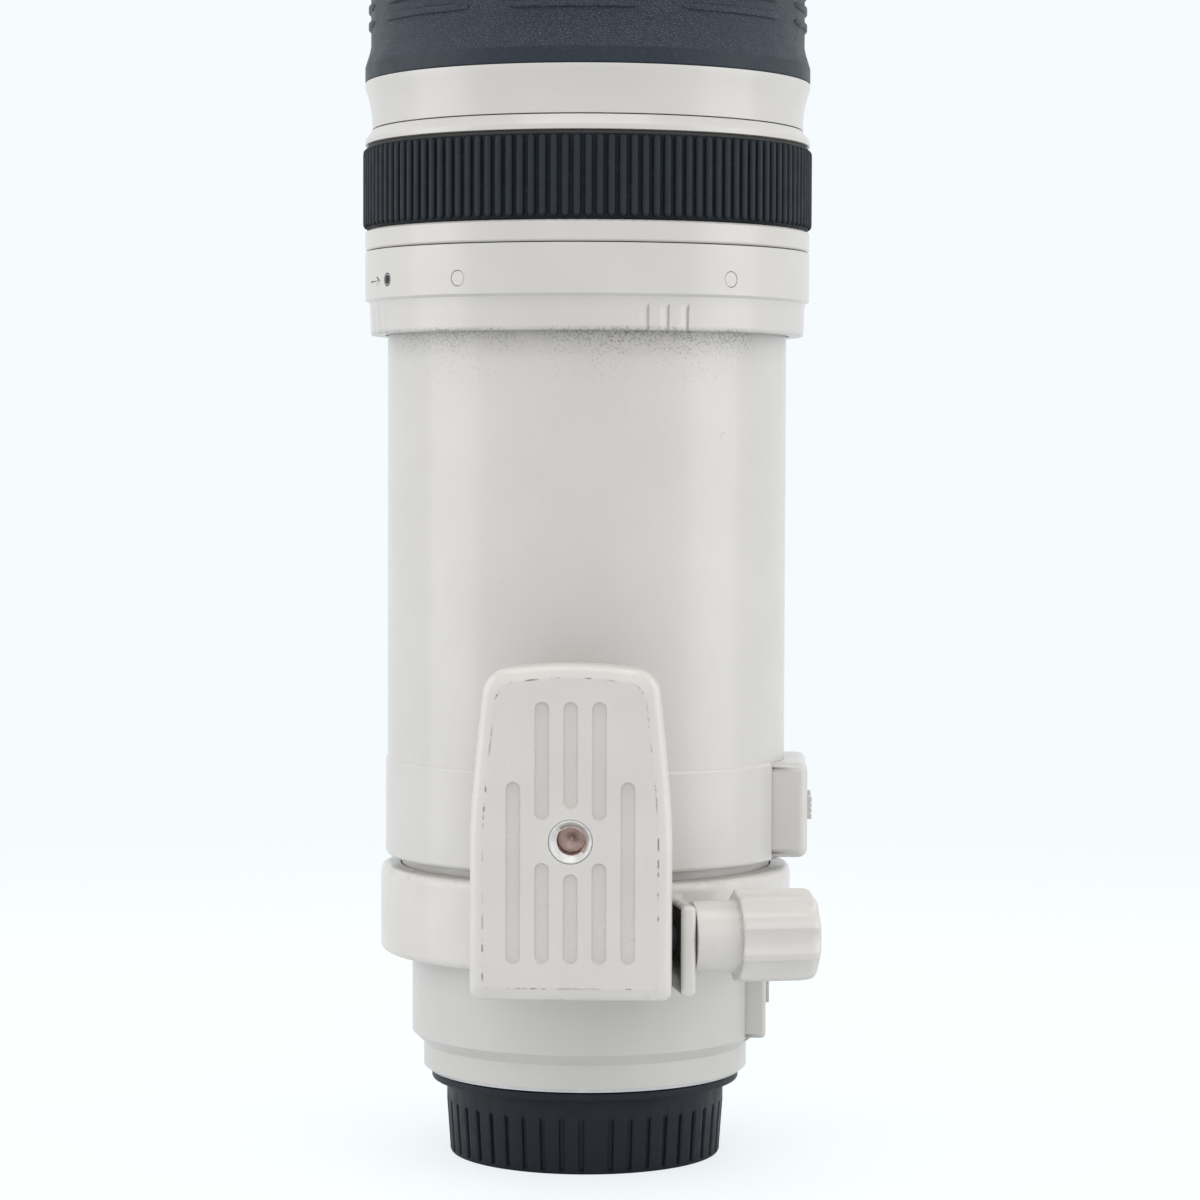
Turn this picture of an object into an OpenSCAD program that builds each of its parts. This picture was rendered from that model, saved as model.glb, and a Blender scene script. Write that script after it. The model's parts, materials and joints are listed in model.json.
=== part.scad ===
// Push-pull telephoto zoom lens standing on its rear cap, drawn out to its long end.
// Millimetres. The optical axis is Z, the origin is the middle of the cap's underside,
// the tripod foot faces -Y, and the clamp knob and the switches are on the +X side.

/* [Zoom] */
// How far the outer sleeve slides back from its long end
zoom_travel = 75; // [68:1:80]
// Bare guide tube left below the sleeve when it is pushed in
stop_gap = 11.2; // [9:0.2:14]
// Turn of the cam tube over the whole travel, in degrees
cam_turn = 70; // [60:1:72]
// How far the variator slides back over the whole travel
variator_travel = 37.5; // [32:0.5:38]

/* [Clearances] */
// Room between tubes and rings that slide or turn on each other
run_gap = 0.4; // [0.3:0.05:0.45]
// Room between a fitted piece and its seat
seat_gap = 0.05; // [0.02:0.01:0.08]
// Open seam between two outside rings
seam_gap = 0.4; // [0.3:0.05:0.6]
// Room between neighbouring pieces that move apart
move_gap = 0.3; // [0.25:0.05:0.35]
// Room between a felt or liner and what it slides on
liner_gap = 0.15; // [0.1:0.01:0.2]

/* [Rear cap] */
// Radius of the cap at its underside
cap_foot_r = 27.9; // [27.7:0.1:29]
// Radius of the cap under its lip
cap_top_r = 28.6; // [28.4:0.1:30]
// Height of the cap below its lip
cap_h = 15.4; // [15:0.1:18]
// Radius of the lip
cap_lip_r = 31.7; // [30.6:0.1:32.3]
// Thickness of the lip
cap_lip_h = 1.7; // [1.4:0.1:2.4]
// Thickness of the cap's floor
cap_floor = 2; // [1.2:0.1:3]
// Angle between two finger grooves
cap_groove_step = 8; // [6:1:12]
// Width of a finger groove
cap_groove_w = 0.8; // [0.6:0.1:1.4]
// Depth of a finger groove
cap_groove_d = 0.45; // [0.3:0.05:0.9]
// Height of the top of the finger grooves
cap_groove_top = 11.3; // [9:0.1:12]

/* [Camera mount] */
// Radius of the mount's flange
flange_r = 32.4; // [31.6:0.1:33]
// Thickness of the flange
flange_t = 1.6; // [1.4:0.1:2]
// Inside radius of the mount's throat
throat_r = 23.6; // [23.2:0.1:24.2]
// Outside radius of the bayonet tube
bayonet_r = 25.2; // [24.9:0.1:25.3]
// Radius over the three bayonet tabs
tab_r = 26.8; // [26.3:0.1:26.8]
// Thickness of a bayonet tab
tab_t = 1.6; // [1.2:0.1:1.7]
// How far the bayonet reaches below the flange
bayonet_h = 5.4; // [5.2:0.1:5.6]
// Radius of the circle of flange screws
mount_screw_at = 29.2; // [28.8:0.1:29.8]
// Radius of a flange screw's head
mount_head_r = 1.7; // [1.5:0.1:1.8]
// Radius of a flange screw's shank
mount_shank_r = 0.9; // [0.7:0.05:1]
// Number of contact pins
contact_count = 8; // [5:1:9]

/* [Rear barrel] */
// Radius of the rear barrel next to the mount
tail_r = 33.4; // [32.8:0.1:34]
// Length of that stretch
tail_h = 4; // [3:0.1:5]
// Height of the cone between the tail and the body
shoulder_h = 2.3; // [1.6:0.1:2.8]
// Radius of the rear barrel's body
body_r = 35.8; // [35.5:0.1:36.4]
// Wall of the rear barrel's body
body_wall = 2.3; // [2:0.1:2.5]
// Radius of the two shoulders that hold the collar
hold_r = 38; // [37.8:0.05:38]
// Depth of the groove that the collar turns in
hold_d = 0.6; // [0.4:0.05:0.7]
// Length of the rear barrel from the flange to the mid barrel
rear_len = 42.9; // [42.5:0.1:46]

/* [Mid barrel and guide tube] */
// Outside radius of the guide tube that the sleeve slides on
tube_r = 40.95; // [40.8:0.05:41.1]
// Wall of the guide tube
tube_wall = 2.05; // [1.9:0.05:2.1]
// How far the mid barrel stands out from the guide tube
mid_step = 0.35; // [0.3:0.05:0.8]
// Height of the mid barrel
mid_h = 20.2; // [20:0.1:23]
// Half width of the distance window
window_half = 12.5; // [9:0.5:14]
// Height of the distance window
window_h = 9; // [7:0.5:9.5]

/* [Tripod collar] */
// Width of the collar along the lens
collar_h = 17.8; // [17.2:0.1:18.2]
// Outside radius of the collar
collar_r = 42.3; // [41.8:0.1:43]
// Inside radius of the collar's ring
collar_in = 38.3; // [38.3:0.05:38.6]
// Room between the collar and the mid barrel
collar_gap = 1.9; // [1.5:0.1:2.3]
// Rounding of the collar's upper edge
collar_round_top = 2; // [1:0.1:2.4]
// Rounding of the collar's lower edge
collar_round_low = 1.5; // [1:0.1:2.4]
// Distance from the optical axis to the flat that the foot is screwed to
pad_y = 44; // [43:0.1:44.5]
// Half width of that flat and of the foot's stem
pad_half = 19; // [18:0.1:19.2]
// Distance from the optical axis to the face of the foot
foot_face_y = 64; // [63:0.1:67]
// Thickness of the foot plate
foot_t = 8.5; // [8.2:0.1:9]
// Height of the foot plate's lower edge
foot_z0 = 40.5; // [39:0.1:41.5]
// Length of the foot plate
foot_len = 64.1; // [62:0.1:68]
// Half width of the foot plate at its lower end
foot_half_low = 19.2; // [18.8:0.1:20]
// Half width of the foot plate at its upper end
foot_half_top = 16.9; // [15.5:0.1:18]
// Radius of the foot plate's upper corners
foot_corner_top = 5.5; // [4:0.1:7]
// Radius of the foot plate's lower corners
foot_corner_low = 2; // [1:0.1:3]
// Rounded edge of the foot's face
foot_bevel = 2.2; // [1.4:0.1:2.6]
// Height of the tripod thread's axis
socket_z = 70.95; // [70:0.05:72]
// Radius of the tripod thread, a quarter-inch screw
socket_r = 3.175; // [3:0.005:3.5]
// Depth of the tripod thread
socket_depth = 7; // [5.5:0.1:7.2]
// Radius of the threaded insert
insert_r = 4.2; // [4:0.1:4.6]
// Width of a grip groove in the foot's face
foot_groove_w = 2.75; // [2:0.05:3]
// Depth of a grip groove
foot_groove_d = 0.8; // [0.4:0.1:1.2]
// Spacing of the columns of grip grooves
foot_groove_pitch = 5.45; // [5.2:0.05:5.8]

/* [Clamp] */
// Angle of the clamp screw to the foot's face, in degrees
clamp_tilt = 12; // [10:0.5:13]
// Height of the clamp screw
clamp_z = 50.9; // [50.4:0.1:51.2]
// Width of the clamp slit
slit_w = 1.8; // [1.4:0.1:2]
// Thickness of the clamp's free lug
lug_t = 3; // [2.6:0.1:3.4]
// Length of the plain neck of the knob
neck_len = 8.5; // [7.5:0.1:10]
// Radius of the plain neck of the knob
neck_r = 7; // [6:0.1:7.1]
// Length of the scalloped part of the knob
knob_len = 15.6; // [12:0.1:18]
// Radius of the knob over its ridges
knob_r = 9.1; // [8.6:0.1:9.3]
// Number of scallops
knob_scallops = 9; // [7:1:11]
// Depth of a scallop
knob_scallop_d = 1.1; // [0.6:0.1:1.4]
// Radius of the clamp screw
clamp_screw_r = 2.45; // [2:0.05:2.5]

/* [Sleeve and rings] */
// Room between the sleeve and the guide tube
sleeve_gap = 0.85; // [0.7:0.05:0.9]
// Wall of the zoom sleeve
sleeve_wall = 1.3; // [1.1:0.05:1.4]
// Wall of the tension ring's wide band
tension_wall = 2.1; // [1.9:0.05:2.4]
// How far the finger skirt stands back from the wide band
skirt_step = 1; // [0.6:0.05:1.1]
// Height of the finger skirt
skirt_h = 7.1; // [6.6:0.1:8]
// Height of the wide band
tension_h = 9.6; // [8:0.1:12]
// Depth of a finger groove in the skirt
skirt_groove_d = 0.6; // [0.3:0.05:0.7]
// Number of screw plugs round the wide band
plug_count = 5; // [3:1:6]
// Radius of a screw plug
plug_r = 1.5; // [1.1:0.1:1.9]
// Wall of the focus ring under its rubber
focus_wall = 1.1; // [0.9:0.05:1.2]
// Thickness of the ribbed rubber over its ribs
rubber_t = 1.4; // [1.2:0.05:1.5]
// Depth of the rubber's ribs
rib_d = 0.7; // [0.4:0.05:0.8]
// Number of ribs
rib_count = 128; // [90:1:140]
// Height of the white band behind the rubber
focus_tail_h = 4.2; // [3:0.1:6]
// Height of the ribbed rubber
focus_grip_h = 17.4; // [14:0.1:20]
// Height of the white bevel in front of the rubber
focus_bevel_h = 3; // [2:0.1:4]
// Height of the waisted band in front of the focus ring
waist_h = 9.3; // [7:0.1:12]
// Depth of the waist
waist_d = 1.4; // [0.8:0.05:1.5]
// Wall of the zoom grip at its lips
grip_wall = 2.45; // [2.2:0.05:2.7]
// Length of the zoom grip
grip_h = 42.3; // [40:0.1:50]
// How far the grip's waist stands back from its lips
grip_waist = 1.2; // [0.8:0.05:1.3]
// Number of columns of grip bars
bar_columns = 8; // [6:1:9]
// Angle that a grip bar spans, in degrees
bar_span = 34; // [20:1:38]
// Pitch of the rows of grip bars
bar_pitch = 3.4; // [3:0.1:3.6]
// Height that a grip bar stands proud
bar_d = 0.5; // [0.3:0.05:0.7]
// Height of the white nose band
nose_h = 8; // [6:0.1:12]
// Length of the front ring
front_len = 11.4; // [11:0.1:14]
// Radius of the filter thread
filter_r = 38.5; // [38.2:0.05:38.6]
// Length of the filter thread
filter_len = 4; // [3:0.1:4.4]

/* [Inner tubes and glass] */
// Wall of the inner barrel that carries the front glass
front_barrel_wall = 1.2; // [1:0.05:1.3]
// Outside radius of the cam tube
cam_r = 35; // [34.8:0.05:35.4]
// Wall of the cam tube
cam_wall = 1.6; // [1.4:0.05:1.7]
// Wall of the slotted guide barrel
guide_wall = 1.9; // [1.6:0.05:2]
// Radius of the rollers and pins that run in the slots
roller_r = 1.5; // [1.2:0.1:1.7]
// Stroke of the focus group each way
focus_stroke = 3; // [2:0.1:3.5]
// Length of the focus and variator cells
cell_len = 12; // [11:0.5:13]
// Rim wall of the lens cells
cell_wall = 2.6; // [2.2:0.1:3]
// Sideways stroke of the stabiliser each way
stabiliser_stroke = 1; // [0.5:0.1:1.1]
// Number of iris blades
blade_count = 8; // [6:1:8]

/* [Switches] */
// How far the upper switch panel stands out from the optical axis
upper_panel_x = 45.6; // [45:0.1:46]
// Half width of the upper switch panel
upper_panel_half = 14.8; // [14:0.1:16]
// How far the lower switch panel stands out from the optical axis
lower_panel_x = 37.4; // [37.3:0.1:37.6]
// Half width of the lower switch panel
lower_panel_half = 12.8; // [12.4:0.1:13.2]
// Travel of a switch each way
switch_travel = 1.5; // [1:0.1:1.8]
// Length of a switch slider
slider_len = 4.4; // [3.6:0.1:4.8]
// Width of a switch slider
slider_w = 3.2; // [2.4:0.1:3.6]

/* [Hidden] */
$fn = 96;
paint = [0.84, 0.83, 0.80];
black = [0.15, 0.16, 0.18];
grip_rubber = [0.25, 0.28, 0.32];
dark_metal = [0.24, 0.24, 0.25];
steel = [0.72, 0.72, 0.73];
brass = [0.83, 0.66, 0.32];
clear = [0.62, 0.70, 0.78, 0.5];
nylon = [0.90, 0.90, 0.86];
board_green = [0.10, 0.32, 0.20];
over = 1;
fine_fn = 360;
small_fn = 32;
thin = 0.01;

// Heights from the cap's underside up
flange_z = cap_h + cap_lip_h + move_gap;
bayonet_z = flange_z - bayonet_h;
tail_z = flange_z + flange_t;
cone_z = tail_z + tail_h;
body_z = cone_z + shoulder_h;
screw_ring_top = tail_z + 7;
rear_top = tail_z + rear_len;
collar_top = rear_top - collar_gap;
collar_z = collar_top - collar_h;
hold_z = collar_z + 0.4;
hold_h = 1.5;
mid_floor = 2.1;
floor_top = rear_top + mid_floor;
mid_top = rear_top + mid_h;
spigot_len = 5.1;
spigot_z = mid_top - spigot_len;
guide_flange_top = spigot_z + 3;
tube_floor = mid_top + 1.9;
sleeve_z = mid_top + stop_gap + zoom_travel;
band_z = sleeve_z + skirt_h;
sleeve_low = band_z + 0.6;
tension_top = band_z + tension_h;
focus_z = tension_top + seam_gap;
focus_grip_z = focus_z + focus_tail_h;
focus_bevel_z = focus_grip_z + focus_grip_h;
focus_top = focus_bevel_z + focus_bevel_h;
waist_z = focus_top + seam_gap;
grip_z = waist_z + waist_h;
grip_top = grip_z + grip_h;
sleeve_top = grip_top + nose_h;
rim_z = sleeve_top + front_len;
tube_top = sleeve_top - zoom_travel - over;

// Radii from the guide tube outwards and inwards
mid_r = tube_r + mid_step;
mid_in = tube_r - 2.35;
tube_in = tube_r - tube_wall;
sleeve_in = tube_r + sleeve_gap;
sleeve_out = sleeve_in + sleeve_wall;
felt_in = tube_r + liner_gap;
ring_in = sleeve_out + run_gap;
tension_r = ring_in + tension_wall;
skirt_r = tension_r - skirt_step;
focus_seat_r = ring_in + focus_wall;
focus_r = focus_seat_r + seat_gap + rubber_t;
trim_in = sleeve_out + seat_gap;
grip_r = trim_in + grip_wall;
front_barrel_r = tube_in - 0.5;
front_barrel_in = front_barrel_r - front_barrel_wall;
cam_in = cam_r - cam_wall;
guide_r = cam_in - move_gap;
guide_in = guide_r - guide_wall;
cell_r = guide_in - move_gap;
rear_in = body_r - body_wall;
unit_r = rear_in - 0.2;

// Front barrel, cam tube and its slots
front_barrel_z = tube_floor + over + zoom_travel;
front_barrel_top = rim_z - 5.2;
roller_z = front_barrel_z + 3;
cam_z = guide_flange_top + run_gap;
cam_top = roller_z + 5;
guide_top = cam_top + 2;
slot_half = roller_r + move_gap;
drive_angle = 85;
pin_angle = 30;
pin_z = cam_top - 18;
arm_count = 3;

// Lens groups
cell_ledge = 1.2;
focus_cell_z = guide_flange_top + over + focus_stroke;
variator_z = pin_z - cell_len / 2;
front_cell_z = rim_z - 28.4;
front_cell_r = front_barrel_in - 0.1;
front_cell_top = front_barrel_top - 0.7;
front_glass_r = front_cell_r - 1;
front_seat_z = front_cell_z + 10.2;
front_ledge_h = 1;
front_rim = 6.2;

// Rear units
screw_ring_in = 26.4;
rear_cell_r = 22;
rear_glass_r = 19.4;
rear_cell_z = tail_z + 1;
board_z = screw_ring_top + 11;
board_t = 1.4;
housing_z = board_z + 3;
housing_plate = 2;
housing_h = 16;
housing_in = unit_r - 2;
frame_r = housing_in - stabiliser_stroke - 0.5;
frame_z = housing_z + housing_plate + move_gap;
frame_h = 2.1;
holder_z = frame_z + frame_h + move_gap;
holder_h = housing_h - 2 * housing_plate - frame_h - 3 * move_gap;
holder_r = frame_r - 1.3;

// Focus motor, distance drum and iris in the mid barrel
drum_r = mid_in - run_gap;
drum_in = drum_r - 1;
drum_z = floor_top + 0.6;
drum_h = 11.8;
motor_in = 31.8;
stator_h = 4;
rotor_z = floor_top + stator_h + move_gap;
rotor_h = 3.7;
iris_r = motor_in - 0.8;
iris_open_r = 21;
iris_h = 8;
iris_groove_z = floor_top + 2.5;
iris_groove_h = 3;
window_z = floor_top + 2;
pane_in = mid_in + 1.3;

// Collar, foot and clamp
foot_back_y = foot_face_y - foot_t;
foot_top = foot_z0 + foot_len;
foot_crown = 0.8;
stem_y = foot_back_y + 2.5;
stem_z = foot_z0 + 0.1;
clamp_x = pad_half + 2.5;
clamp_y = pad_y + 4.5;
lug_face = 1;
lug_back = lug_face - lug_t;
slit_x = lug_back - slit_w;
lug_reach = 6.7;
lug_z = collar_z - 2;
lug_h = 17.6;
neck_x = lug_face + move_gap;
knob_x = neck_x + neck_len;
screw_tail = 12;
screw_head = knob_x + 8.2;
screw_room = 0.35;
sweep_r = lower_panel_x + 3.6;
insert_len = socket_depth + 0.6;
foot_screw_r = 1.2;
foot_screw_head_r = 2.2;
foot_screw_pitch = 9;

// Switches
recess_d = 1.1;
recess_side = 0.4;
upper_switch_y = 6.5;
lower_switch_y = 5.5;
upper_slider_z = (rear_top + mid_top) / 2;
lower_slider_z = (body_z + collar_z) / 2 + 0.3;
upper_proud = 1;
lower_proud = 0.7;

// Contacts
contact_r = throat_r - 3.1;
contact_step = 8;
contact_pin_r = 0.7;
contact_hole = 3;
block_z = bayonet_z - 1;
head_h = 1.1;

// Azimuths on the rings
skirt_groove_at = 23.6;
plug_at = -31.2;
plug_z = band_z + 3.1;
plug_depth = 0.9;
bar_at = -1;

// Points of a round stretch, from one angle to another
function arc(x, y, r, a0, a1, steps = 6) =
    [for (i = [0 : steps]) let (a = a0 + (a1 - a0) * i / steps) [x + r * cos(a), y + r * sin(a)]];

// Height of a lens face at radius q, above its rim of radius r, for a crown of sag
function lens_face(q, r, sag) = let (
    s = abs(sag),
    ball = (r * r + s * s) / (2 * s),
    drop = ball - sqrt(ball * ball - q * q)
) (sag > 0 ? 1 : -1) * (s - drop);

// A plain tube about the axis
module tube(r_in, r_out, z0, z1) {
    rotate_extrude()
        translate([r_in, z0])
            square([r_out - r_in, z1 - z0]);
}

// Turns +X to an azimuth counted from the foot's side towards the knob's side
module at_azimuth(azimuth) {
    rotate([0, 0, azimuth - 90])
        children();
}

// A wedge of a tube, centred on an azimuth
module tube_wedge(r_in, r_out, z0, z1, azimuth, span) {
    at_azimuth(azimuth - span / 2)
        rotate_extrude(angle = span)
            translate([r_in, z0])
                square([r_out - r_in, z1 - z0]);
}

// A rod along X from one distance to another
module rod_x(r, x0, x1, z = 0) {
    translate([x0, 0, z])
        rotate([0, 90, 0])
            cylinder(r = r, h = x1 - x0, $fn = 48);
}

// A lens with its rim from z0 up; a negative sag makes a hollow face
module lens(r, z0, rim, sag_low, sag_high) {
    steps = 10;
    low = [for (i = [0 : steps]) [r * i / steps, z0 - lens_face(r * i / steps, r, sag_low)]];
    high = [for (i = [steps : -1 : 0]) [r * i / steps, z0 + rim + lens_face(r * i / steps, r, sag_high)]];
    color(clear)
        rotate_extrude()
            polygon(concat(low, high));
}

// A ring that holds a lens, with a ledge under the lens
module lens_cell(r_out, z0, len) {
    bore = r_out - cell_wall;
    rotate_extrude()
        polygon([
            [bore - cell_ledge, z0], [r_out, z0], [r_out, z0 + len], [bore, z0 + len],
            [bore, z0 + 2 * cell_ledge], [bore - cell_ledge, z0 + 2 * cell_ledge]
        ]);
}

// The lens that such a ring holds
module cell_lens(r_out, z0, rim, sag_low, sag_high) {
    lens(r_out - cell_wall - seat_gap, z0 + 2 * cell_ledge + seat_gap, rim, sag_low, sag_high);
}

// Rear cap and camera mount

module rear_cap() {
    skin_r = tab_r + move_gap;
    cavity_z = bayonet_z - 3;
    cavity_r = tab_r - 0.8;
    hook_z = bayonet_z + tab_t + move_gap;
    hook_h = 1.2;
    edge = 1.4;
    groove_z = 0.5;
    first = 10;
    last = floor((180 - 2 * first) / cap_groove_step);
    color(black)
        union() {
            difference() {
                rotate_extrude()
                    polygon([
                        [0, 0], [cap_foot_r - edge, 0], [cap_foot_r, edge], [cap_top_r, cap_h - edge],
                        [cap_top_r + edge, cap_h], [cap_lip_r, cap_h], [cap_lip_r, cap_h + cap_lip_h],
                        [skin_r, cap_h + cap_lip_h], [skin_r, cavity_z], [cavity_r, cavity_z],
                        [cavity_r, cap_floor], [0, cap_floor]
                    ]);
                for (side = [-1, 1], i = [0 : last])
                    at_azimuth(side * (first + cap_groove_step * i))
                        translate([cap_foot_r - cap_groove_d, -cap_groove_w / 2, groove_z])
                            cube([cap_lip_r, cap_groove_w, cap_groove_top - groove_z]);
            }
            for (k = [0 : 2])
                tube_wedge(bayonet_r + move_gap, skin_r + seat_gap, hook_z, hook_z + hook_h, 120 * k, 50);
        }
}

module mount_screw_places() {
    for (i = [0 : 3])
        at_azimuth(45 + 90 * i)
            translate([mount_screw_at, 0, 0])
                children();
}

module bayonet_mount() {
    color(steel)
        difference() {
            union() {
                tube(throat_r, flange_r, flange_z, tail_z);
                tube(throat_r, bayonet_r, bayonet_z, tail_z);
                for (k = [0 : 2])
                    tube_wedge(throat_r, tab_r, bayonet_z, bayonet_z + tab_t, 120 * k, 56);
            }
            mount_screw_places()
                translate([0, 0, flange_z - over]) {
                    cylinder(r = mount_shank_r + seat_gap, h = flange_t + 2 * over, $fn = small_fn);
                    cylinder(r = mount_head_r + seat_gap, h = head_h + over, $fn = small_fn);
                }
        }
}

module mount_screws() {
    color(steel)
        mount_screw_places()
            translate([0, 0, flange_z]) {
                cylinder(r = mount_head_r, h = head_h - seat_gap, $fn = small_fn);
                cylinder(r = mount_shank_r, h = flange_t + 4.5, $fn = small_fn);
            }
}

module contact_places() {
    for (i = [0 : contact_count - 1])
        at_azimuth(180 + contact_step * (i - (contact_count - 1) / 2))
            translate([contact_r, 0, block_z])
                children();
}

module contact_block() {
    half = 1.9;
    color(black)
        difference() {
            tube_wedge(
                contact_r - half, contact_r + half, block_z, block_z + 5.5,
                180, contact_step * (contact_count + 0.8)
            );
            contact_places()
                translate([0, 0, -over])
                    cylinder(r = contact_pin_r + seat_gap, h = contact_hole + over, $fn = small_fn);
        }
}

module contact_pins() {
    proud = 0.4;
    color(brass)
        contact_places()
            translate([0, 0, -proud])
                cylinder(r = contact_pin_r, h = proud + contact_hole - seat_gap, $fn = small_fn);
}

module rear_baffle() {
    low = bayonet_z + 0.2;
    top = tail_z - 0.2;
    plate = 1.4;
    gate = [32, 24];
    color(black)
        difference() {
            translate([0, 0, low])
                cylinder(r = throat_r - 0.1, h = top - low);
            translate([0, 0, low - over])
                cylinder(r = throat_r - 1, h = top - plate - low + over);
            translate([-gate[0] / 2, -gate[1] / 2, low])
                cube([gate[0], gate[1], top]);
        }
}

// Rear barrel and what stands in it

module rear_barrel() {
    ledge = 1.5;
    ledge_h = 1;
    screw_depth = 5;
    groove_r = hold_r - hold_d;
    color(paint)
        difference() {
            rotate_extrude()
                polygon([
                    [screw_ring_in, tail_z], [tail_r, tail_z], [tail_r, cone_z], [body_r, body_z],
                    [body_r, hold_z], [hold_r, hold_z], [hold_r, hold_z + hold_h], [groove_r, hold_z + hold_h],
                    [groove_r, collar_top - hold_h], [hold_r, collar_top - hold_h], [hold_r, rear_top],
                    [rear_in, rear_top], [rear_in, board_z], [rear_in - ledge, board_z],
                    [rear_in - ledge, board_z - ledge_h], [rear_in, board_z - ledge_h],
                    [rear_in, screw_ring_top], [screw_ring_in, screw_ring_top]
                ]);
            mount_screw_places()
                translate([0, 0, tail_z - over])
                    cylinder(r = mount_shank_r + seat_gap, h = screw_depth + over, $fn = small_fn);
        }
}

module rear_cell() {
    flange_h = 2;
    bore = rear_glass_r + seat_gap;
    top = rear_cell_z + 15;
    color(dark_metal)
        rotate_extrude()
            polygon([
                [bore, rear_cell_z], [rear_cell_r, rear_cell_z], [rear_cell_r, screw_ring_top],
                [unit_r, screw_ring_top], [unit_r, screw_ring_top + flange_h],
                [rear_cell_r, screw_ring_top + flange_h], [rear_cell_r, top], [bore, top]
            ]);
}

module rear_elements() {
    lens(rear_glass_r, rear_cell_z + 1.8, 2.2, 0.8, 1.2);
    lens(rear_glass_r, rear_cell_z + 10, 4, -1, -1.2);
}

module main_board() {
    chip = [5, 7, 1];
    chip_count = 4;
    color(board_green)
        union() {
            tube(rear_cell_r + 0.5, unit_r, board_z, board_z + board_t);
            for (k = [0 : chip_count - 1])
                at_azimuth(40 + 90 * k)
                    translate([rear_cell_r + 2, -chip[1] / 2, board_z + board_t / 2])
                        cube([chip[0], chip[1], chip[2] + board_t / 2]);
        }
}

module stabiliser_housing() {
    open_r = 20;
    top = housing_z + housing_h;
    low_in = housing_z + housing_plate;
    top_in = top - housing_plate;
    color(dark_metal)
        rotate_extrude()
            polygon([
                [open_r, housing_z], [unit_r, housing_z], [unit_r, top], [open_r, top],
                [open_r, top_in], [housing_in, top_in], [housing_in, low_in], [open_r, low_in]
            ]);
}

module stabiliser_frame() {
    color(steel)
        tube(rear_cell_r, frame_r, frame_z, frame_z + frame_h);
}

module stabiliser_holder() {
    color(black)
        lens_cell(holder_r, holder_z, holder_h);
}

module stabiliser_element() {
    cell_lens(holder_r, holder_z, 4.4, -1.2, -1);
}

// Tripod collar with its foot and clamp

// X along the clamp screw, Y from the screw towards the optical axis
module at_clamp() {
    translate([clamp_x, -clamp_y, clamp_z])
        rotate([0, 0, clamp_tilt])
            children();
}

module clamp_hole() {
    at_clamp()
        rod_x(clamp_screw_r + screw_room, -screw_tail - over, neck_x);
}

// A box across the clamp, from one place along the screw to another
module clamp_box(x0, x1, y0, y1) {
    at_clamp()
        translate([x0, y0, lug_z - clamp_z - over])
            cube([x1 - x0, y1 - y0, collar_h + 5 * over]);
}

module foot_screw_places() {
    for (side = [-1, 1])
        translate([0, -collar_in, (collar_z + collar_top) / 2 + side * foot_screw_pitch / 2])
            rotate([90, 0, 0])
                children();
}

// A block across the foot's stem, cut off at the clamp slit
module stem_block(y_out, y_in, z0, z1) {
    far = 40;
    difference() {
        translate([-pad_half, -y_out, z0])
            cube([2 * pad_half, y_out - y_in, z1 - z0]);
        clamp_box(slit_x, far, -far, far);
    }
}

module collar_ring() {
    low = collar_round_low;
    top = collar_round_top;
    root = 15;
    cut = 17;
    head_room = 2.4;
    color(paint)
        difference() {
            union() {
                rotate_extrude()
                    polygon(concat(
                        [[collar_in, collar_z]],
                        arc(collar_r - low, collar_z + low, low, -90, 0),
                        arc(collar_r - top, collar_top - top, top, 0, 90),
                        [[collar_in, collar_top]]
                    ));
                stem_block(pad_y, collar_in - 5, collar_z, collar_top);
                at_clamp()
                    translate([lug_back, -lug_reach, lug_z - clamp_z])
                        cube([lug_t, lug_reach + root, lug_h]);
            }
            translate([0, 0, lug_z - over])
                cylinder(r = collar_in, h = collar_h + 5 * over);
            translate([0, 0, lug_z - over])
                cylinder(r = sweep_r, h = collar_z - lug_z + over);
            clamp_box(slit_x, lug_back, -lug_reach - over, cut);
            clamp_hole();
            foot_screw_places() {
                cylinder(r = foot_screw_r + seat_gap, h = pad_y - collar_in + over, $fn = small_fn);
                translate([0, 0, -over])
                    cylinder(r = foot_screw_head_r + seat_gap, h = head_room + over, $fn = small_fn);
            }
        }
}

module foot_screws() {
    sunk = 0.4;
    color(steel)
        foot_screw_places()
            translate([0, 0, sunk]) {
                cylinder(r = foot_screw_head_r, h = 1.9, $fn = small_fn);
                cylinder(r = foot_screw_r, h = 11.4, $fn = small_fn);
            }
}

module collar_liner() {
    end_gap = 0.3;
    color(nylon)
        tube(
            hold_r - hold_d + liner_gap, collar_in - seat_gap,
            hold_z + hold_h + end_gap, collar_top - hold_h - end_gap
        );
}

// Half width of the foot along its tapered stretch, from 0 at its start to 1 at its end
function foot_half(t) = foot_half_low - (foot_half_low - foot_half_top) * pow(t, 1.3);

// Outline of the foot's face as x and z, drawn in by inset, with a crowned top edge
function foot_outline(inset) = let (
    c_low = max(foot_corner_low - inset / 2, 0.5),
    c_top = foot_corner_top - inset / 2,
    top = foot_top - foot_crown - inset,
    taper_z = foot_z0 + foot_len * 0.49,
    taper_h = top - c_top - taper_z,
    right = concat(
        arc(foot_half_low - inset - c_low, foot_z0 + inset + c_low, c_low, -90, 0),
        [for (i = [0 : 3]) [foot_half(i / 4) - inset, taper_z + taper_h * i / 4]],
        arc(foot_half_top - inset - c_top, top - c_top, c_top, 0, 84)
    )
) concat(
    right,
    [[0, top + foot_crown]],
    [for (i = [len(right) - 1 : -1 : 0]) [-right[i][0], right[i][1]]]
);

module foot_layer(y, inset) {
    translate([0, -y + thin, 0])
        rotate([90, 0, 0])
            linear_extrude(height = thin)
                polygon(foot_outline(inset));
}

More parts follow.
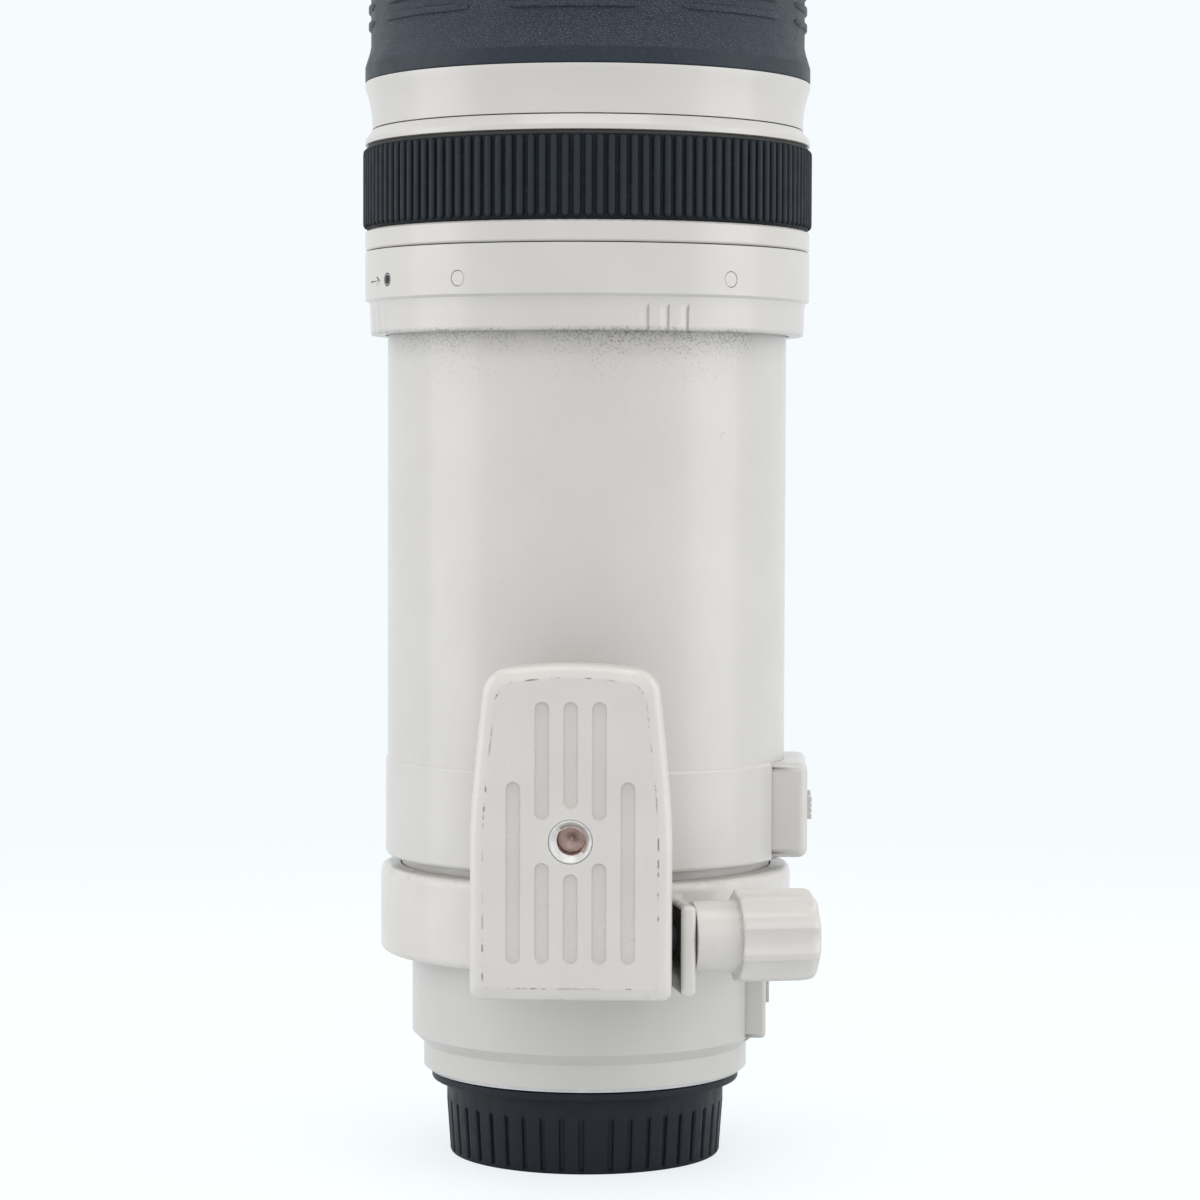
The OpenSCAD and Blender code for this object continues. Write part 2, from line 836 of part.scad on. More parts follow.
module foot_plate() {
    back_edge = 1;
    hull() {
        foot_layer(foot_back_y, back_edge);
        foot_layer(foot_back_y + back_edge, 0);
        for (a = [0 : 22.5 : 90])
            foot_layer(foot_face_y - foot_bevel * (1 - sin(a)), foot_bevel * (1 - cos(a)));
    }
}

// One round-ended groove in the foot's face
module foot_groove(x, z_low, z_high) {
    r = foot_groove_w / 2;
    h = foot_groove_d + over;
    translate([x, -foot_face_y + foot_groove_d, 0])
        rotate([90, 0, 0]) {
            translate([0, z_low + r, 0])
                cylinder(r = r, h = h, $fn = small_fn);
            translate([0, z_high - r, 0])
                cylinder(r = r, h = h, $fn = small_fn);
            translate([-r, z_low + r, 0])
                cube([foot_groove_w, z_high - z_low - 2 * r, h]);
        }
}

module foot_grooves() {
    low = foot_z0 + 7.1;
    top = foot_top - 7.1;
    rest = 6.15;
    closer = 2.1;
    side_top = 11.35;
    foot_groove(0, socket_z + rest, top);
    foot_groove(0, low, socket_z - rest);
    for (side = [-1, 1]) {
        foot_groove(side * foot_groove_pitch, socket_z + rest - closer, top);
        foot_groove(side * foot_groove_pitch, low, socket_z - rest + closer);
        foot_groove(2 * side * foot_groove_pitch, low, socket_z + side_top);
    }
}

module tripod_foot() {
    screw_depth = 12;
    color(paint)
        difference() {
            union() {
                foot_plate();
                stem_block(stem_y, pad_y, stem_z, collar_top);
            }
            foot_grooves();
            clamp_hole();
            translate([0, -foot_face_y - over, socket_z])
                rotate([-90, 0, 0])
                    cylinder(r = insert_r + seat_gap, h = insert_len + seat_gap + over);
            foot_screw_places()
                cylinder(r = foot_screw_r + seat_gap, h = screw_depth, $fn = small_fn);
        }
}

module tripod_socket() {
    color(steel)
        translate([0, -foot_face_y, socket_z])
            rotate([-90, 0, 0])
                difference() {
                    cylinder(r = insert_r, h = insert_len);
                    translate([0, 0, -over])
                        cylinder(r = socket_r, h = socket_depth + over);
                }
}

module clamp_knob() {
    end = knob_x + knob_len;
    bore = clamp_screw_r + seat_gap;
    bore_end = screw_head + seat_gap;
    scallop_r = 4.2;
    edge = 0.5;
    round = 2.6;
    crown = 0.4;
    color(paint)
        at_clamp()
            rotate([0, 90, 0])
                difference() {
                    rotate_extrude()
                        polygon(concat(
                            [[bore, neck_x], [neck_r, neck_x], [neck_r, knob_x]],
                            [[knob_r - edge, knob_x], [knob_r, knob_x + edge]],
                            arc(knob_r - round, end - round, round, 0, 90),
                            [[0, end + crown], [0, bore_end], [bore, bore_end]]
                        ));
                    for (i = [0 : knob_scallops - 1])
                        rotate([0, 0, 360 * i / knob_scallops])
                            translate([knob_r + scallop_r - knob_scallop_d, 0, knob_x - over])
                                cylinder(r = scallop_r, h = knob_len + 3 * over, $fn = 48);
                }
}

module clamp_screw() {
    color(steel)
        at_clamp()
            rod_x(clamp_screw_r, -screw_tail, screw_head);
}

// Switch panels and their sliders

// A slab across X with rounded corners
module panel_slab(x0, x1, half, z0, z1) {
    round = 1.6;
    translate([x0, 0, 0])
        rotate([90, 0, 90])
            linear_extrude(height = x1 - x0)
                translate([-half + round, z0 + round])
                    offset(r = round, $fn = 24)
                        square([2 * (half - round), z1 - z0 - 2 * round]);
}

module slider_recess(face_x, y, z) {
    long = slider_len + 2 * (switch_travel + recess_side);
    wide = slider_w + 2 * recess_side;
    translate([face_x - recess_d, y - wide / 2, z - long / 2])
        cube([recess_d + over, wide, long]);
}

module slider(face_x, y, z, proud) {
    ridge = 0.4;
    ridge_step = 1.1;
    color(paint)
        difference() {
            translate([face_x - recess_d + move_gap, y - slider_w / 2, z - slider_len / 2])
                cube([recess_d - move_gap + proud, slider_w, slider_len]);
            for (k = [-1 : 1])
                translate([face_x + proud - ridge, y - slider_w, z + ridge_step * k - ridge / 2])
                    cube([over, 2 * slider_w, ridge]);
        }
}

module focus_switch_panel() {
    z0 = rear_top + 0.6;
    z1 = mid_top - 0.3;
    edge = 1.6;
    root = mid_r - 4;
    color(paint)
        difference() {
            hull() {
                panel_slab(root, upper_panel_x - edge, upper_panel_half, z0, z1);
                panel_slab(upper_panel_x - thin, upper_panel_x, upper_panel_half - edge, z0 + edge, z1 - edge);
            }
            translate([0, 0, rear_top])
                cylinder(r = mid_r + seat_gap, h = mid_h, $fn = fine_fn);
            for (side = [-1, 1])
                slider_recess(upper_panel_x, side * upper_switch_y, upper_slider_z);
        }
}

module stabiliser_switch_panel() {
    z1 = collar_z - 1.2;
    slope = 2.3;
    edge = 0.8;
    root = body_r - 4;
    color(paint)
        difference() {
            translate([0, lower_panel_half, 0])
                rotate([90, 0, 0])
                    linear_extrude(height = 2 * lower_panel_half)
                        polygon([
                            [root, body_z], [lower_panel_x - slope, body_z], [lower_panel_x, body_z + slope],
                            [lower_panel_x, z1 - edge], [lower_panel_x - edge, z1], [root, z1]
                        ]);
            translate([0, 0, body_z - over])
                cylinder(r = body_r + seat_gap, h = collar_z - body_z + over, $fn = fine_fn);
            for (side = [-1, 1])
                slider_recess(lower_panel_x, side * lower_switch_y, lower_slider_z);
        }
}

module focus_mode_switch() {
    slider(upper_panel_x, -upper_switch_y, upper_slider_z, upper_proud);
}

module focus_limit_switch() {
    slider(upper_panel_x, upper_switch_y, upper_slider_z, upper_proud);
}

module stabiliser_switch() {
    slider(lower_panel_x, -lower_switch_y, lower_slider_z, lower_proud);
}

module stabiliser_mode_switch() {
    slider(lower_panel_x, lower_switch_y, lower_slider_z, lower_proud);
}

// Mid barrel with the distance window, focus motor and iris

// The part of a ring that lies behind a window on the side away from the foot
module window_block(half, h, r_in, r_out) {
    intersection() {
        tube(r_in, r_out, window_z, window_z + window_h);
        translate([-half, 0, window_z + (window_h - h) / 2])
            cube([2 * half, mid_r + over, h]);
    }
}

module mid_barrel() {
    edge = 0.5;
    ledge = 1.2;
    open_r = iris_open_r + 1;
    color(paint)
        difference() {
            rotate_extrude()
                polygon([
                    [open_r, rear_top], [mid_r - edge, rear_top], [mid_r, rear_top + edge],
                    [mid_r, mid_top - edge], [mid_r - edge, mid_top], [mid_in, mid_top],
                    [mid_in, floor_top], [open_r, floor_top]
                ]);
            window_block(window_half, window_h, pane_in, mid_r + over);
            window_block(window_half - ledge, window_h - 2 * ledge, mid_in - over, pane_in + seat_gap);
        }
}

module distance_window() {
    sunk = 0.1;
    color(clear)
        window_block(window_half - seat_gap, window_h - 2 * seat_gap, pane_in + seat_gap, mid_r - sunk);
}

module distance_scale() {
    color(black)
        tube(drum_in, drum_r, drum_z, drum_z + drum_h);
}

module motor_stator() {
    color(steel)
        tube(motor_in, drum_in - 0.6, floor_top, floor_top + stator_h);
}

module motor_rotor() {
    color(brass)
        tube(motor_in, drum_in - seat_gap, rotor_z, rotor_z + rotor_h);
}

module iris_housing() {
    top = iris_groove_z + iris_groove_h;
    groove_r = iris_r - 2;
    color(black)
        rotate_extrude()
            polygon([
                [iris_open_r, floor_top], [iris_r, floor_top], [iris_r, floor_top + iris_h],
                [iris_open_r, floor_top + iris_h], [iris_open_r, top], [groove_r, top],
                [groove_r, iris_groove_z], [iris_open_r, iris_groove_z]
            ]);
}

module iris_blades() {
    t = 0.15;
    pitch = 0.32;
    span = 70;
    color(dark_metal)
        for (i = [0 : blade_count - 1])
            tube_wedge(
                iris_open_r + 0.5, iris_r - 2.3,
                iris_groove_z + pitch * (i + 0.5), iris_groove_z + pitch * (i + 0.5) + t,
                360 * i / blade_count, span
            );
}

// Guide tube, guide barrel, cam tube and the groups that they guide

spigot_r = mid_in - seat_gap;
spigot_in = spigot_r - 2;

module guide_tube() {
    color(paint)
        rotate_extrude()
            polygon([
                [spigot_in, spigot_z], [spigot_r, spigot_z], [spigot_r, mid_top], [tube_r, mid_top],
                [tube_r, tube_top], [tube_in, tube_top], [tube_in, tube_floor], [spigot_in, tube_floor]
            ]);
}

module guide_barrel() {
    foot_r = spigot_in - 2 * seat_gap;
    low = pin_z - variator_travel - slot_half;
    color(dark_metal)
        difference() {
            rotate_extrude()
                polygon([
                    [guide_in, spigot_z], [foot_r, spigot_z], [foot_r, guide_flange_top],
                    [guide_r, guide_flange_top], [guide_r, guide_top], [guide_in, guide_top]
                ]);
            for (k = [0 : arm_count - 1])
                rotate([0, 0, pin_angle + 360 / arm_count * k])
                    translate([guide_in - over, -slot_half, low])
                        cube([guide_wall + 2 * over, 2 * slot_half, variator_travel + 2 * slot_half]);
        }
}

// A helical slot through the cam tube: at angle on its top end, and cam_turn back at its low end
module cam_slot(angle, z_high, drop) {
    mid = (cam_in + cam_r) / 2;
    reach = cam_turn * PI / 180 * mid;
    half_a = slot_half * sqrt(reach * reach + drop * drop) / drop / mid * 180 / PI;
    rate = cam_turn / drop;
    h = drop + 2 * slot_half;
    translate([0, 0, z_high - drop - slot_half])
        rotate([0, 0, angle - cam_turn - slot_half * rate])
            linear_extrude(height = h, twist = -h * rate, slices = 24, $fn = 8)
                polygon(concat(
                    arc(0, 0, cam_r + over, -half_a, half_a, 2),
                    arc(0, 0, cam_in - over, half_a, -half_a, 2)
                ));
}

module cam_tube() {
    color(brass)
        difference() {
            tube(cam_in, cam_r, cam_z, cam_top);
            for (k = [0 : arm_count - 1]) {
                cam_slot(drive_angle + 360 / arm_count * k, roller_z, zoom_travel);
                cam_slot(pin_angle + 360 / arm_count * k, pin_z, variator_travel);
            }
        }
}

module cam_retainer() {
    color(steel)
        tube(guide_r + seat_gap, cam_r, cam_top + run_gap, guide_top);
}

module focus_cell() {
    color(dark_metal)
        lens_cell(cell_r, focus_cell_z, cell_len);
}

module focus_element() {
    cell_lens(cell_r, focus_cell_z, 6, -1.6, -1.4);
}

pin_root = cell_r - 1.4;

module variator_cell() {
    color(dark_metal)
        difference() {
            lens_cell(cell_r, variator_z, cell_len);
            for (k = [0 : arm_count - 1])
                rotate([0, 0, pin_angle + 360 / arm_count * k])
                    rod_x(roller_r + seat_gap, pin_root - seat_gap, cell_r + over, pin_z);
        }
}

module variator_element() {
    cell_lens(cell_r, variator_z, 7, -2, -2.2);
}

module variator_pins() {
    color(brass)
        for (k = [0 : arm_count - 1])
            rotate([0, 0, pin_angle + 360 / arm_count * k])
                rod_x(roller_r, pin_root, cam_r - run_gap, pin_z);
}

// Zoom sleeve with its rings

module zoom_sleeve() {
    color(dark_metal)
        tube(sleeve_in, sleeve_out, sleeve_low, sleeve_top);
}

module friction_band() {
    slit = 1.5;
    color(nylon)
        difference() {
            tube(felt_in, sleeve_out, sleeve_z + 2.1, sleeve_low - seat_gap);
            translate([0, -slit / 2, sleeve_z])
                cube([tension_r, slit, skirt_h + 2]);
        }
}

module slide_felt() {
    color(black)
        tube(felt_in, sleeve_in - seat_gap, tube_top - 8, tube_top - 2);
}

module plug_places() {
    for (i = [0 : plug_count - 1])
        at_azimuth(plug_at + 360 * i / plug_count)
            children();
}

module tension_ring() {
    lip = 1.7;
    lip_in = tube_r + 0.55;
    flare = 0.2;
    edge = 0.4;
    groove_w = 1.6;
    groove_step = 5.4;
    groove_h = 4.9;
    color(paint)
        difference() {
            rotate_extrude()
                polygon([
                    [lip_in, sleeve_z], [skirt_r - flare - edge, sleeve_z], [skirt_r - flare, sleeve_z + edge],
                    [skirt_r + flare, band_z - edge], [tension_r, band_z], [tension_r, tension_top - edge],
                    [tension_r - edge, tension_top], [ring_in, tension_top], [ring_in, sleeve_z + lip],
                    [lip_in, sleeve_z + lip]
                ]);
            for (group = [0 : 3], k = [-1 : 1])
                at_azimuth(skirt_groove_at + 90 * group + groove_step * k)
                    translate([skirt_r - skirt_groove_d, -groove_w / 2, sleeve_z - over])
                        cube([over + skirt_groove_d, groove_w, groove_h + over]);
            plug_places()
                rod_x(plug_r + seat_gap, tension_r - plug_depth, tension_r + over, plug_z);
        }
}

module tension_plugs() {
    color(paint)
        plug_places()
            rod_x(plug_r, tension_r - plug_depth + seat_gap, tension_r - seat_gap, plug_z);
}

module focus_ring_core() {
    edge = 0.4;
    bevel_r = focus_r - 0.45;
    land = 1;
    color(paint)
        rotate_extrude()
            polygon([
                [ring_in, focus_z], [tension_r - edge, focus_z], [tension_r, focus_z + edge],
                [tension_r, focus_grip_z - edge], [tension_r - edge, focus_grip_z], [focus_seat_r, focus_grip_z],
                [focus_seat_r, focus_bevel_z], [bevel_r, focus_bevel_z], [bevel_r, focus_bevel_z + land],
                [bevel_r - waist_d, focus_top], [ring_in, focus_top]
            ]);
}

module focus_ring_rubber() {
    root = focus_r - rib_d;
    step = 360 / rib_count;
    end_gap = 0.1;
    ribs = [
        for (i = [0 : rib_count - 1], p = [[0, root], [0.2, root], [0.36, focus_r], [0.84, focus_r]])
            let (a = (i + p[0]) * step) [p[1] * cos(a), p[1] * sin(a)]
    ];
    color(black)
        translate([0, 0, focus_grip_z + end_gap])
            difference() {
                linear_extrude(height = focus_grip_h - 2 * end_gap)
                    polygon(ribs);
                translate([0, 0, -over])
                    cylinder(r = focus_seat_r + seat_gap, h = focus_grip_h + 2 * over, $fn = fine_fn);
            }
}

module waist_band() {
    steps = 5;
    flare = [
        for (i = [0 : steps]) let (t = i / steps)
            [grip_r - waist_d * (1 - t * t), waist_z + waist_h * (0.1 + 0.8 * t)]
    ];
    top = grip_z - seat_gap;
    color(paint)
        rotate_extrude()
            polygon(concat(
                [[trim_in, waist_z], [grip_r - waist_d, waist_z]],
                flare,
                [[grip_r, top], [trim_in, top]]
            ));
}

module zoom_grip() {
    waist_r = grip_r - grip_waist;
    lip = 3.1;
    flare_h = 4.3;
    flare = 0.3;
    bar_h = 1.6;
    slope = 0.3;
    rows = 8;
    bars_z = grip_z + 10.7;
    bars = [
        for (row = [0 : rows - 1], p = [[0, 0], [bar_d, slope], [bar_d, bar_h - slope], [0, bar_h]])
            [waist_r + p[0], bars_z + bar_pitch * row + p[1]]
    ];
    gap_span = 360 / bar_columns - bar_span;
    low_flare = grip_z + lip + flare_h;
    color(grip_rubber)
        difference() {
            rotate_extrude()
                polygon(concat(
                    [[trim_in, grip_z], [grip_r, grip_z], [grip_r, grip_z + lip]],
                    [[waist_r + flare, low_flare - flare_h / 3], [waist_r, low_flare]],
                    bars,
                    [[waist_r, grip_top - lip], [grip_r, grip_top - lip + over]],
                    [[grip_r, grip_top], [trim_in, grip_top]]
                ));
            for (i = [0 : bar_columns - 1])
                tube_wedge(
                    waist_r + thin, grip_r + over, bars_z - over, bars_z + bar_pitch * rows,
                    bar_at + 360 / bar_columns * (i + 0.5), gap_span
                );
        }
}

module nose_band() {
    edge = 0.5;
    r = grip_r - 0.2;
    z0 = grip_top + seat_gap;
    color(paint)
        rotate_extrude()
            polygon([
                [trim_in, z0], [r - edge, z0], [r, z0 + edge], [r, sleeve_top - edge],
                [r - edge, sleeve_top], [trim_in, sleeve_top]
            ]);
}

// Front ring and front group

module front_ring() {
    edge = 0.7;
    r = grip_r - 1.1;
    groove_r = r - 1.4;
    groove_z = sleeve_top + 2;
    groove_h = 4;
    chamfer = 0.6;
    bore = front_barrel_r + 0.6;
    thread_z = rim_z - edge - filter_len;
    color(black)
        rotate_extrude()
            polygon([
                [bore, sleeve_top], [r, sleeve_top], [r, groove_z], [groove_r, groove_z + chamfer],
                [groove_r, groove_z + groove_h - chamfer], [r, groove_z + groove_h], [r, rim_z - edge],
                [r - edge, rim_z], [filter_r + edge, rim_z], [filter_r, rim_z - edge], [filter_r, thread_z],
                [bore, thread_z]
            ]);
}

module front_barrel() {
    flange_h = 2.2;
    seat_r = front_barrel_r + 0.5;
    seat_z = front_barrel_top - flange_h;
    color(dark_metal)
        difference() {
            rotate_extrude()
                polygon([
                    [front_barrel_in, front_barrel_z], [front_barrel_r, front_barrel_z], [front_barrel_r, seat_z],
                    [seat_r, seat_z], [seat_r, front_barrel_top], [front_barrel_in, front_barrel_top]
                ]);
            for (k = [0 : arm_count - 1])
                rotate([0, 0, drive_angle + 360 / arm_count * k])
                    rod_x(roller_r + seat_gap, front_barrel_in - over, front_barrel_r + over, roller_z);
        }
}

module drive_rollers() {
    color(brass)
        for (k = [0 : arm_count - 1])
            rotate([0, 0, drive_angle + 360 / arm_count * k])
                rod_x(roller_r, cam_in + 0.5, front_barrel_r - 0.2, roller_z);
}

module front_cell() {
    ledge_in = front_glass_r - 2;
    ledge_z = front_seat_z - front_ledge_h;
    bore = front_glass_r + seat_gap;
    color(black)
        rotate_extrude()
            polygon([
                [bore, front_cell_z], [front_cell_r, front_cell_z], [front_cell_r, front_cell_top],
                [bore, front_cell_top], [bore, front_seat_z], [ledge_in, front_seat_z],
                [ledge_in, ledge_z], [bore, ledge_z]
            ]);
}

module front_element() {
    lens(front_glass_r, front_seat_z + seat_gap, front_rim, 0.5, 4);
}

module second_element() {
    rim = 4;
    lens(front_glass_r, front_seat_z - front_ledge_h - seat_gap - rim, rim, 2, -1);
}

module front_retainer() {
    low = front_seat_z + front_rim + 0.8;
    inner = front_glass_r - 2.6;
    cover = front_cell_top + seat_gap;
    edge = 0.6;
    color(black)
        rotate_extrude()
            polygon([
                [inner, low], [front_glass_r, low], [front_glass_r, cover], [front_cell_r, cover],
                [front_cell_r, front_barrel_top], [front_cell_r - edge, front_barrel_top], [inner, low + edge]
            ]);
}

rear_cap();
bayonet_mount();
mount_screws();
contact_block();
contact_pins();
rear_baffle();
rear_barrel();
rear_cell();
rear_elements();
main_board();
stabiliser_housing();
stabiliser_frame();
stabiliser_holder();
stabiliser_element();
stabiliser_switch_panel();
stabiliser_switch();
stabiliser_mode_switch();
collar_ring();
collar_liner();
tripod_foot();
tripod_socket();
foot_screws();
clamp_knob();
clamp_screw();
mid_barrel();
distance_window();
distance_scale();
focus_switch_panel();
focus_mode_switch();
focus_limit_switch();
motor_stator();
motor_rotor();
iris_housing();
iris_blades();
guide_tube();
guide_barrel();
cam_tube();
cam_retainer();
focus_cell();
focus_element();
variator_cell();
variator_element();
variator_pins();
zoom_sleeve();
friction_band();
slide_felt();
tension_ring();
tension_plugs();
focus_ring_core();
focus_ring_rubber();
waist_band();
zoom_grip();
nose_band();
front_ring();
front_barrel();
drive_rollers();
front_cell();
front_element();
second_element();
front_retainer();
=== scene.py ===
"""Finish of a telephoto zoom lens: rounded edges, rubber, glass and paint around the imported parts.

The lens stands on its rear cap, and its axis is Z. Sizes are in millimetres and become metres through MM.
An azimuth is counted from the side of the tripod foot (-Y) towards the clamp knob (+X), in degrees.
"""

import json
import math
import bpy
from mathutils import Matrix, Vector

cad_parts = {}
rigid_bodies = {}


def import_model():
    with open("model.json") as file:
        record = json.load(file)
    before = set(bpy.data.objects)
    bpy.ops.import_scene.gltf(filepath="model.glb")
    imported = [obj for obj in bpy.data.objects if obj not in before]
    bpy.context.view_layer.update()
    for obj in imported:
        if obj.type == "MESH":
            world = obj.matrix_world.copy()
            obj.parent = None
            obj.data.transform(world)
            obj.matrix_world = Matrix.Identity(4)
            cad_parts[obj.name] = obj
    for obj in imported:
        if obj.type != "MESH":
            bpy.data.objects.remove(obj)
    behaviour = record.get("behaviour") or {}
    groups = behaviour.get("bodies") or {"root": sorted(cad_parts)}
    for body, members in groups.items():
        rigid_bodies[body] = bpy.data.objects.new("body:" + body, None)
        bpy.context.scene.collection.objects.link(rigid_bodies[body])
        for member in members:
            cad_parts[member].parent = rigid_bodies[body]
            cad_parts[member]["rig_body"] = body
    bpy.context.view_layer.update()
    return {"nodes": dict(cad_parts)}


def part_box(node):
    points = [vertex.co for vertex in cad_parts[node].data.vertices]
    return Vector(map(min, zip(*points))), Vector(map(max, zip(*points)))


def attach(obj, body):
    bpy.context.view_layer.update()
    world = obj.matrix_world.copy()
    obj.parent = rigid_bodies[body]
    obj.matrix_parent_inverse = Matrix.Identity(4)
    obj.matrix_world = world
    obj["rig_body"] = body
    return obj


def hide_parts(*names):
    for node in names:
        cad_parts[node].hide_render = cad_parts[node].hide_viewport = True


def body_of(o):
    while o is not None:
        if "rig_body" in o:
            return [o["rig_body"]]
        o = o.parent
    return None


bl_info = {
    "name": "Telephoto zoom lens",
    "version": (1, 0, 0),
    "blender": (4, 5, 0),
    "location": "3D View > Sidebar > Zoom lens",
    "description": "Dresses the parts of a telephoto zoom lens and sets its studio",
    "category": "Object",
}

import bmesh
import bpy
from bpy.props import FloatProperty, FloatVectorProperty, IntProperty, PointerProperty
from mathutils import Matrix, Vector

for stray in list(bpy.data.objects):
    bpy.data.objects.remove(stray)
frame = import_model()

MM = 0.001
TURN = 2 * math.pi
FINE = 256
GRIP_LIP = 3.1
EDGE_WEAR = 0.12


# Reading the frame


def reach(node):
    """Outer radius, lowest and highest point of a CAD node that is round about the axis."""
    low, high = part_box(node)
    return max(high.x, high.y) / MM, low.z / MM, high.z / MM


def corners(node):
    """Lowest and highest corner of a CAD node in millimetres."""
    low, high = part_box(node)
    return low / MM, high / MM


# Building meshes

MERGE = 1e-7
WELD = 2e-6
FLAT_ANGLE = 0.4
WEAR_ANGLE = 14
BEVEL_ANGLE = 30
FILLET_SHARE = 0.48
RIM_ROOM = 0.05


def around(azimuth, r, z):
    """The point at an azimuth, a radius and a height, in metres."""
    a = math.radians(azimuth)
    return Vector((r * math.sin(a), -r * math.cos(a), z)) * MM


def steps(first, last, count):
    """Evenly spaced numbers from first to last, both included."""
    return [first + (last - first) * i / count for i in range(count + 1)]


def arc_points(x, z, r, first, last, count):
    """Points on an arc about (x, z), from one angle to another in degrees."""
    turns = [math.radians(a) for a in steps(first, last, count)]
    return [(x + r * math.cos(a), z + r * math.sin(a)) for a in turns]


def rectangle(left, right, low, high):
    """The four corners of a rectangle."""
    return [(left, low), (right, low), (right, high), (left, high)]


def rounded(section, arc=4):
    """A closed section of (radius, height, fillet) corners, as (radius, height, wear) points with arcs."""
    line = []
    for i, (r, z, fillet) in enumerate(section):
        here = Vector((r, z))
        if not fillet:
            line.append((r, z, 0.0))
            continue
        back = Vector(section[i - 1][:2]) - here
        ahead = Vector(section[(i + 1) % len(section)][:2]) - here
        room = (FILLET_SHARE * back.length, FILLET_SHARE * ahead.length)
        cut = min(fillet / math.tan(back.angle(ahead) / 2), *room)
        start, end = here + back.normalized() * cut, here + ahead.normalized() * cut
        for t in steps(0, 1, arc):
            point = start * (1 - t) ** 2 + here * 2 * t * (1 - t) + end * t * t
            line.append((point.x, point.y, EDGE_WEAR * 4 * t * (1 - t)))
    return line


def linked(name, bm):
    """An object in the scene from a bmesh, with its faces outwards and its doubles merged."""
    bmesh.ops.remove_doubles(bm, verts=bm.verts, dist=MERGE)
    bmesh.ops.dissolve_degenerate(bm, edges=bm.edges, dist=MERGE)
    bmesh.ops.recalc_face_normals(bm, faces=bm.faces)
    mesh = bpy.data.meshes.new(name)
    bm.to_mesh(mesh)
    bm.free()
    piece = bpy.data.objects.new(name, mesh)
    bpy.context.scene.collection.objects.link(piece)
    return piece


def wear_layer(bm):
    """The layer of wear marks on a bmesh's points."""
    layers = bm.verts.layers.float
    return layers.get("wear") or layers.new("wear")


def swept(bm, rows, ring=True):
    """Faces between neighbouring loops of (point, wear); the last loop meets the first if ring."""
    wear = wear_layer(bm)
    grid = []
    for row in rows:
        grid.append([bm.verts.new(point) for point, _ in row])
        for vert, (_, worn) in zip(grid[-1], row):
            vert[wear] = worn
    for k in range(len(grid) if ring else len(grid) - 1):
        here, there = grid[k], grid[(k + 1) % len(grid)]
        for i in range(len(here)):
            j = (i + 1) % len(here)
            bm.faces.new((here[i], there[i], there[j], here[j]))
    return grid


def lofted(name, rows):
    """A closed piece through loops of (point, wear), with its ends capped."""
    bm = bmesh.new()
    grid = swept(bm, rows, ring=False)
    for row in (grid[0], grid[-1]):
        bm.faces.new(row)
    return linked(name, bm)


def turned(name, section, dent=None, azimuths=None):
    """A ring turned about the axis; dent gives the radius at an azimuth, radius and height."""
    bm = bmesh.new()
    swept(bm, [
        [(around(azimuth, dent(azimuth, r, z) if dent else r, z), worn) for r, z, worn in section]
        for azimuth in azimuths or steps(0, 360, FINE)[:-1]
    ])
    return linked(name, bm)


def turned_wedge(name, r_in, r_out, low, high, arc):
    """Part of a ring, centred on the foot's side."""
    section = rectangle(r_in, r_out, low, high)
    return lofted(name, [[(around(a, r, z), 0.0) for r, z in section] for a in steps(-arc / 2, arc / 2, 16)])


def block(name, outline, low, high):
    """A prism along Z from an (x, y) outline."""
    return lofted(name, [[(Vector((x, y, z)) * MM, 0.0) for x, y in outline] for z in (low, high)])


def rod(name, start, end, r, sides=48):
    """A plain round cutter between two points."""
    bm = bmesh.new()
    axis = Vector(end) - Vector(start)
    turn = axis.to_track_quat("Z", "Y").to_matrix().to_4x4()
    place = Matrix.Translation((Vector(start) + axis / 2) * MM) @ turn
    bmesh.ops.create_cone(
        bm, cap_ends=True, segments=sides, radius1=r * MM, radius2=r * MM, depth=axis.length * MM, matrix=place
    )
    return linked(name, bm)


def core(name, r, low=0, high=100):
    """A fine round cutter about the axis."""
    return rod(name, (0, 0, low), (0, 0, high), r, FINE)


def moved(piece, matrix):
    """The piece with a placing matrix applied to its mesh."""
    piece.data.transform(matrix)
    return piece


def settle(piece):
    """Turns the piece's modifiers into plain mesh."""
    graph = bpy.context.evaluated_depsgraph_get()
    mesh = bpy.data.meshes.new_from_object(piece.evaluated_get(graph), depsgraph=graph)
    piece.modifiers.clear()
    piece.data = mesh
    mesh.name = piece.name
    return piece


def combined(piece, others, operation):
    """Joins or cuts the piece with others, which are then removed."""
    for other in others:
        step = piece.modifiers.new(operation, "BOOLEAN")
        step.operation, step.solver, step.object = operation, "EXACT", other
        settle(piece)
        bpy.data.objects.remove(other)
    return piece


def softened(piece, width=0.0, arc=3, sharp=48):
    """Breaks the piece's edges, shades it smooth and keeps its flats flat."""
    if width:
        bevel = piece.modifiers.new("Edges", "BEVEL")
        bevel.width, bevel.segments = width * MM, arc
        bevel.limit_method, bevel.angle_limit = "ANGLE", math.radians(BEVEL_ANGLE)
        settle(piece)
        mark_wear(piece.data)
    piece.data.shade_smooth()
    piece.data.set_sharp_from_angle(angle=math.radians(sharp))
    flats = piece.modifiers.new("Flats", "WEIGHTED_NORMAL")
    flats.keep_sharp = True
    return settle(piece)


def mark_wear(mesh):
    """Marks the points on rounded edges, where paint wears first."""
    bm = bmesh.new()
    bm.from_mesh(mesh)
    wear = wear_layer(bm)
    for edge in bm.edges:
        if edge.is_manifold and edge.calc_face_angle(0) > math.radians(WEAR_ANGLE):
            for vert in edge.verts:
                vert[wear] = EDGE_WEAR
    bm.to_mesh(mesh)
    bm.free()


